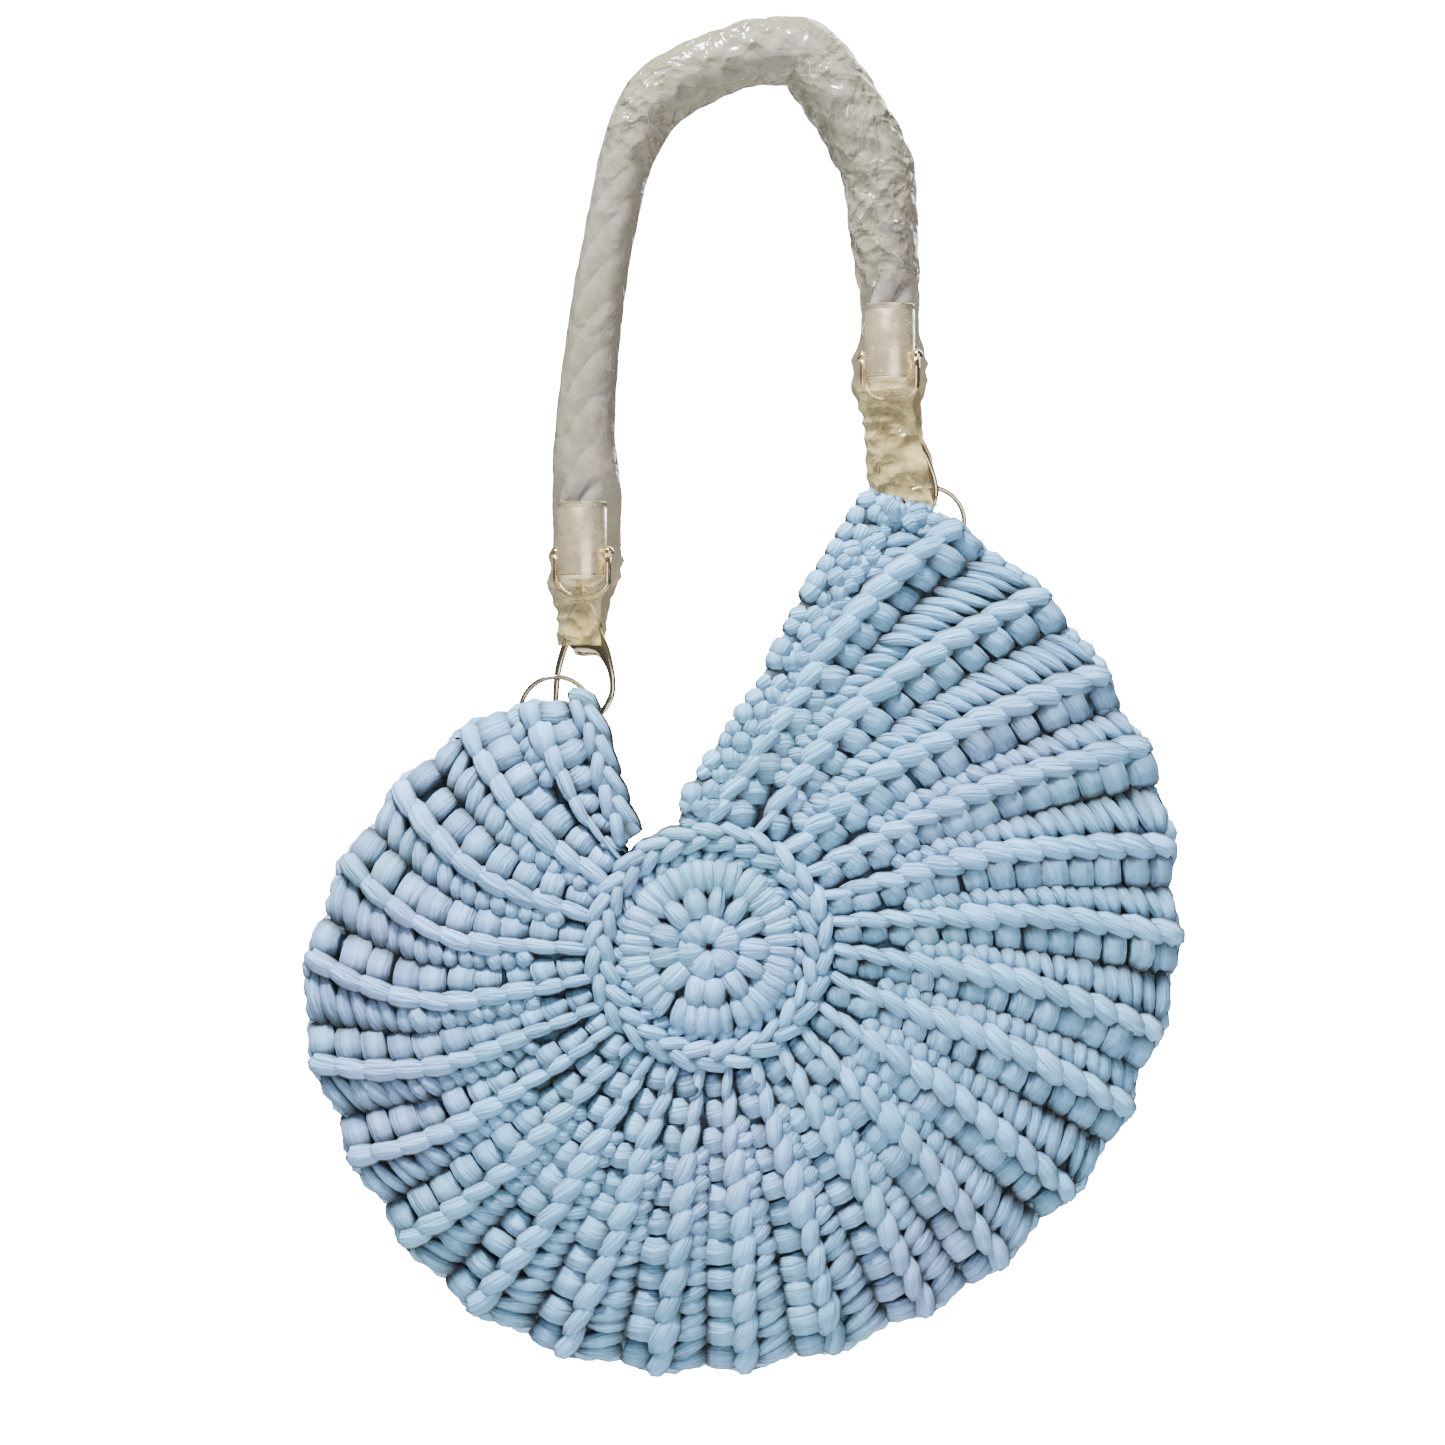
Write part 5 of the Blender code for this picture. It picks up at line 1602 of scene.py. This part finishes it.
class BAG_OT_caps(bpy.types.Operator):
    """Turns the two cups on the handle's ends"""
    bl_idname = "bag.caps"
    bl_label = "Caps"

    def execute(self, context):
        outer = CAP_DIAMETER / 2
        inner = outer - CAP_WALL
        for side in SIDES:
            low = cap_bottom(side)
            dome_top, top = low + CAP_DOME, cap_mouth(side)
            profile = [(outer * wide, low + CAP_DOME * high)
                       for wide, high in ((0.0, 0.0), (0.30, 0.02), (0.60, 0.16), (0.82, 0.42),
                                          (0.95, 0.74), (1.0, 1.0))]
            profile += [(outer * 0.965, dome_top + 0.0003), (outer * 0.965, dome_top + 0.0010),
                        (outer, dome_top + 0.0013), (outer, top - 0.0030),
                        (outer * 0.975, top - 0.0026), (outer * 0.975, top - 0.0020),
                        (outer, top - 0.0016), (outer, top - 0.0002), (outer - 0.0003, top),
                        (inner + 0.0001, top), (inner, top - 0.0003), (inner, dome_top), (0.0, dome_top)]
            fresh()
            mesh = bpy.data.meshes.new("cap")
            mesh.from_pydata([(radius, 0.0, height) for radius, height in profile],
                             [(i, i + 1) for i in range(len(profile) - 1)], [])
            obj = bpy.data.objects.new("cap_shell_" + side.name, mesh)
            context.scene.collection.objects.link(obj)
            turn = obj.modifiers.new("turn", "SCREW")
            turn.steps = turn.render_steps = 64
            turn.use_merge_vertices = True
            turn.merge_threshold = 1e-6
            apply_all(obj)
            recalculate(obj)
            smooth_below(35)
            obj.data.transform(upright_frame(side))
            finish_piece(obj, "bag", material("brushed_gold"), ["cap_" + side.name])
        return {"FINISHED"}


class BAG_OT_yokes(bpy.types.Operator):
    """Bends the stirrups that the hooks swivel in"""
    bl_idname = "bag.yokes"
    bl_label = "Stirrups"

    def execute(self, context):
        radius, half, sag = yoke_radius(), YOKE_THICKNESS / 2, yoke_sag()
        knob = half + sag + YOKE_RISE
        bow = [(-radius * math.cos(turn), 0.0, half + sag * (1.0 - math.sin(turn)))
               for turn in np.linspace(0.0, math.pi, 33)]
        bend = knob - YOKE_RISE * 0.5
        line = np.array([(-radius, 0.0, knob), (-radius, 0.0, bend), *bow, (radius, 0.0, bend),
                         (radius, 0.0, knob)])
        eyes = [1.0 - smoothstep(0.0, STEM_HEAD_DIAMETER, abs(point[0]) - STEM_DIAMETER / 2)
                for point in line]
        wide = [mix(YOKE_WIDTH, YOKE_EYE_WIDTH, eye) / 2 for eye in eyes]
        for side in SIDES:
            parts = [flat_bar("stirrup_" + side.name, line, half * 0.9, wide, 14)]
            for sign in (-1.0, 1.0):
                fresh()
                bpy.ops.mesh.primitive_uv_sphere_add(
                    segments=20, ring_count=12, radius=knob_reach(),
                    location=(sign * (radius + knob_reach() * 0.15), 0.0, knob))
                parts.append(context.object)
                bpy.ops.object.transform_apply(location=True, rotation=True, scale=True)
            yoke = joined(parts)
            bpy.ops.object.shade_smooth()
            yoke.data.transform(upright_frame(side))
            finish_piece(yoke, "bag", material("pale_gold"), ["yoke_" + side.name])
        return {"FINISHED"}


class BAG_OT_hooks(bpy.types.Operator):
    """Shapes the snap hooks, their gates and the pins"""
    bl_idname = "bag.hooks"
    bl_label = "Hooks"

    def execute(self, context):
        for side in SIDES:
            self.hook(side)
            self.gate(side)
        return {"FINISHED"}

    def hook(self, side):
        rows = catmull(claw_rows(), np.linspace(0.0, 1.0, 70))
        centres = np.stack([rows[:, 0], np.zeros(len(rows)), -rows[:, 1]], axis=1)
        claw = flat_bar("snap_hook_" + side.name, centres, rows[:, 2], rows[:, 3], 16)
        self.cut_gate_slot(claw)
        parts = [claw]
        foot, neck = -HEAD_THICKNESS / 2, stem_reach(side)
        for name, radius, bottom, top in (
                ("stem", STEM_DIAMETER / 2, foot, neck + STEM_HEAD_HEIGHT / 2),
                ("stem_head", STEM_HEAD_DIAMETER / 2, neck, neck + STEM_HEAD_HEIGHT)):
            part = cylinder(name, 28, radius, top - bottom, (0.0, 0.0, (top + bottom) / 2), lying=False)
            parts.append(bevelled(part, FINE_EDGE))
        joined(parts)
        smooth_below(38)
        claw.data.transform(hook_frame(side))
        finish_piece(claw, "bag", material("pale_gold"), ["hook_" + side.name])

    def cut_gate_slot(self, claw):
        """The slot in the head that the gate turns in."""
        pivot = pivot_point()
        reach = GATE_EYE / 2 + CLEARANCE
        slot_half = GATE_THICKNESS / 2 + CLEARANCE
        low = Vector((-HEAD_WIDTH, -slot_half, pivot.z - 3 * reach))
        high = Vector((pivot.x + reach * 1.05, slot_half, pivot.z + reach * 1.05))
        fresh()
        bpy.ops.mesh.primitive_cube_add(size=1.0, location=(low + high) / 2)
        cutter = bpy.context.object
        cutter.scale = high - low
        bpy.ops.object.transform_apply(location=True, rotation=True, scale=True)
        slot = claw.modifiers.new("gate_slot", "BOOLEAN")
        slot.object = cutter
        slot.operation = "DIFFERENCE"
        slot.solver = "EXACT"
        apply_all(claw)
        bpy.data.objects.remove(cutter, do_unlink=True)

    def gate(self, side):
        pivot = pivot_point()
        place = hook_frame(side) @ Matrix.Translation(pivot)
        across, down = claw_rows()[-1][:2]
        tip = Vector((across - HOOK_WIRE * 0.12, 0.0, HOOK_WIRE * 0.5 + 3 * CLEARANCE - down)) - pivot
        elbow = Vector((tip.x * 0.80, 0.0, tip.z * 0.52))
        line = catmull([Vector((-GATE_EYE * 0.1, 0.0, -GATE_EYE * 0.05)), elbow, tip],
                       np.linspace(0.0, 1.0, 16))
        wide = np.linspace(GATE_WIDTH * 0.62, GATE_WIDTH * 0.42, len(line))
        bar = flat_bar("hook_gate_" + side.name, line, wide, GATE_THICKNESS / 2, 12)
        eye = bevelled(cylinder("gate_eye", 32, GATE_EYE / 2, GATE_THICKNESS), FINE_EDGE)
        joined([bar, eye])
        smooth_below(38)
        bar.data.transform(place)
        finish_piece(bar, "gate_" + side.name, material("pale_gold"), ["gate_" + side.name])
        pin = cylinder("hook_pin_" + side.name, 24, PIN_DIAMETER / 2 + 0.0002, HEAD_THICKNESS * 1.02)
        bevelled(pin, 0.0004, 3)
        smooth_below(50)
        pin.data.transform(place)
        finish_piece(pin, "bag", material("pale_gold"), ["gate_pin_" + side.name])


class BagSettings(bpy.types.PropertyGroup):
    yarn: PointerProperty(type=YarnSettings)
    handle: PointerProperty(type=HandleSettings)
    hardware: PointerProperty(type=HardwareSettings)
    stage: PointerProperty(type=StageSettings)


OPERATORS = (BAG_OT_stage, BAG_OT_rope, BAG_OT_film, BAG_OT_panels, BAG_OT_rosettes, BAG_OT_edgings,
             BAG_OT_ties, BAG_OT_rings, BAG_OT_caps, BAG_OT_yokes, BAG_OT_hooks)


class BAG_PT_panel(bpy.types.Panel):
    """Lists the bag's pieces and their settings"""
    bl_idname = "BAG_PT_panel"
    bl_label = "Crochet shell bag"
    bl_space_type = "VIEW_3D"
    bl_region_type = "UI"
    bl_category = "Bag"

    def draw(self, context):
        for operator in OPERATORS:
            self.layout.operator(operator.bl_idname)
        for group in (settings().yarn, settings().handle, settings().hardware, settings().stage):
            box = self.layout.box()
            for name in group.__annotations__:
                box.prop(group, name)


CLASSES = (YarnSettings, HandleSettings, HardwareSettings, StageSettings, BagSettings, *OPERATORS,
           BAG_PT_panel)


def register():
    for cls in CLASSES:
        bpy.utils.register_class(cls)
    bpy.types.Scene.shell_bag = PointerProperty(type=BagSettings)


def unregister():
    del bpy.types.Scene.shell_bag
    for cls in reversed(CLASSES):
        bpy.utils.unregister_class(cls)


def main():
    register()
    for operator in OPERATORS:
        getattr(bpy.ops.bag, operator.bl_idname.split(".")[1])()


if __name__ == "__main__":
    main()
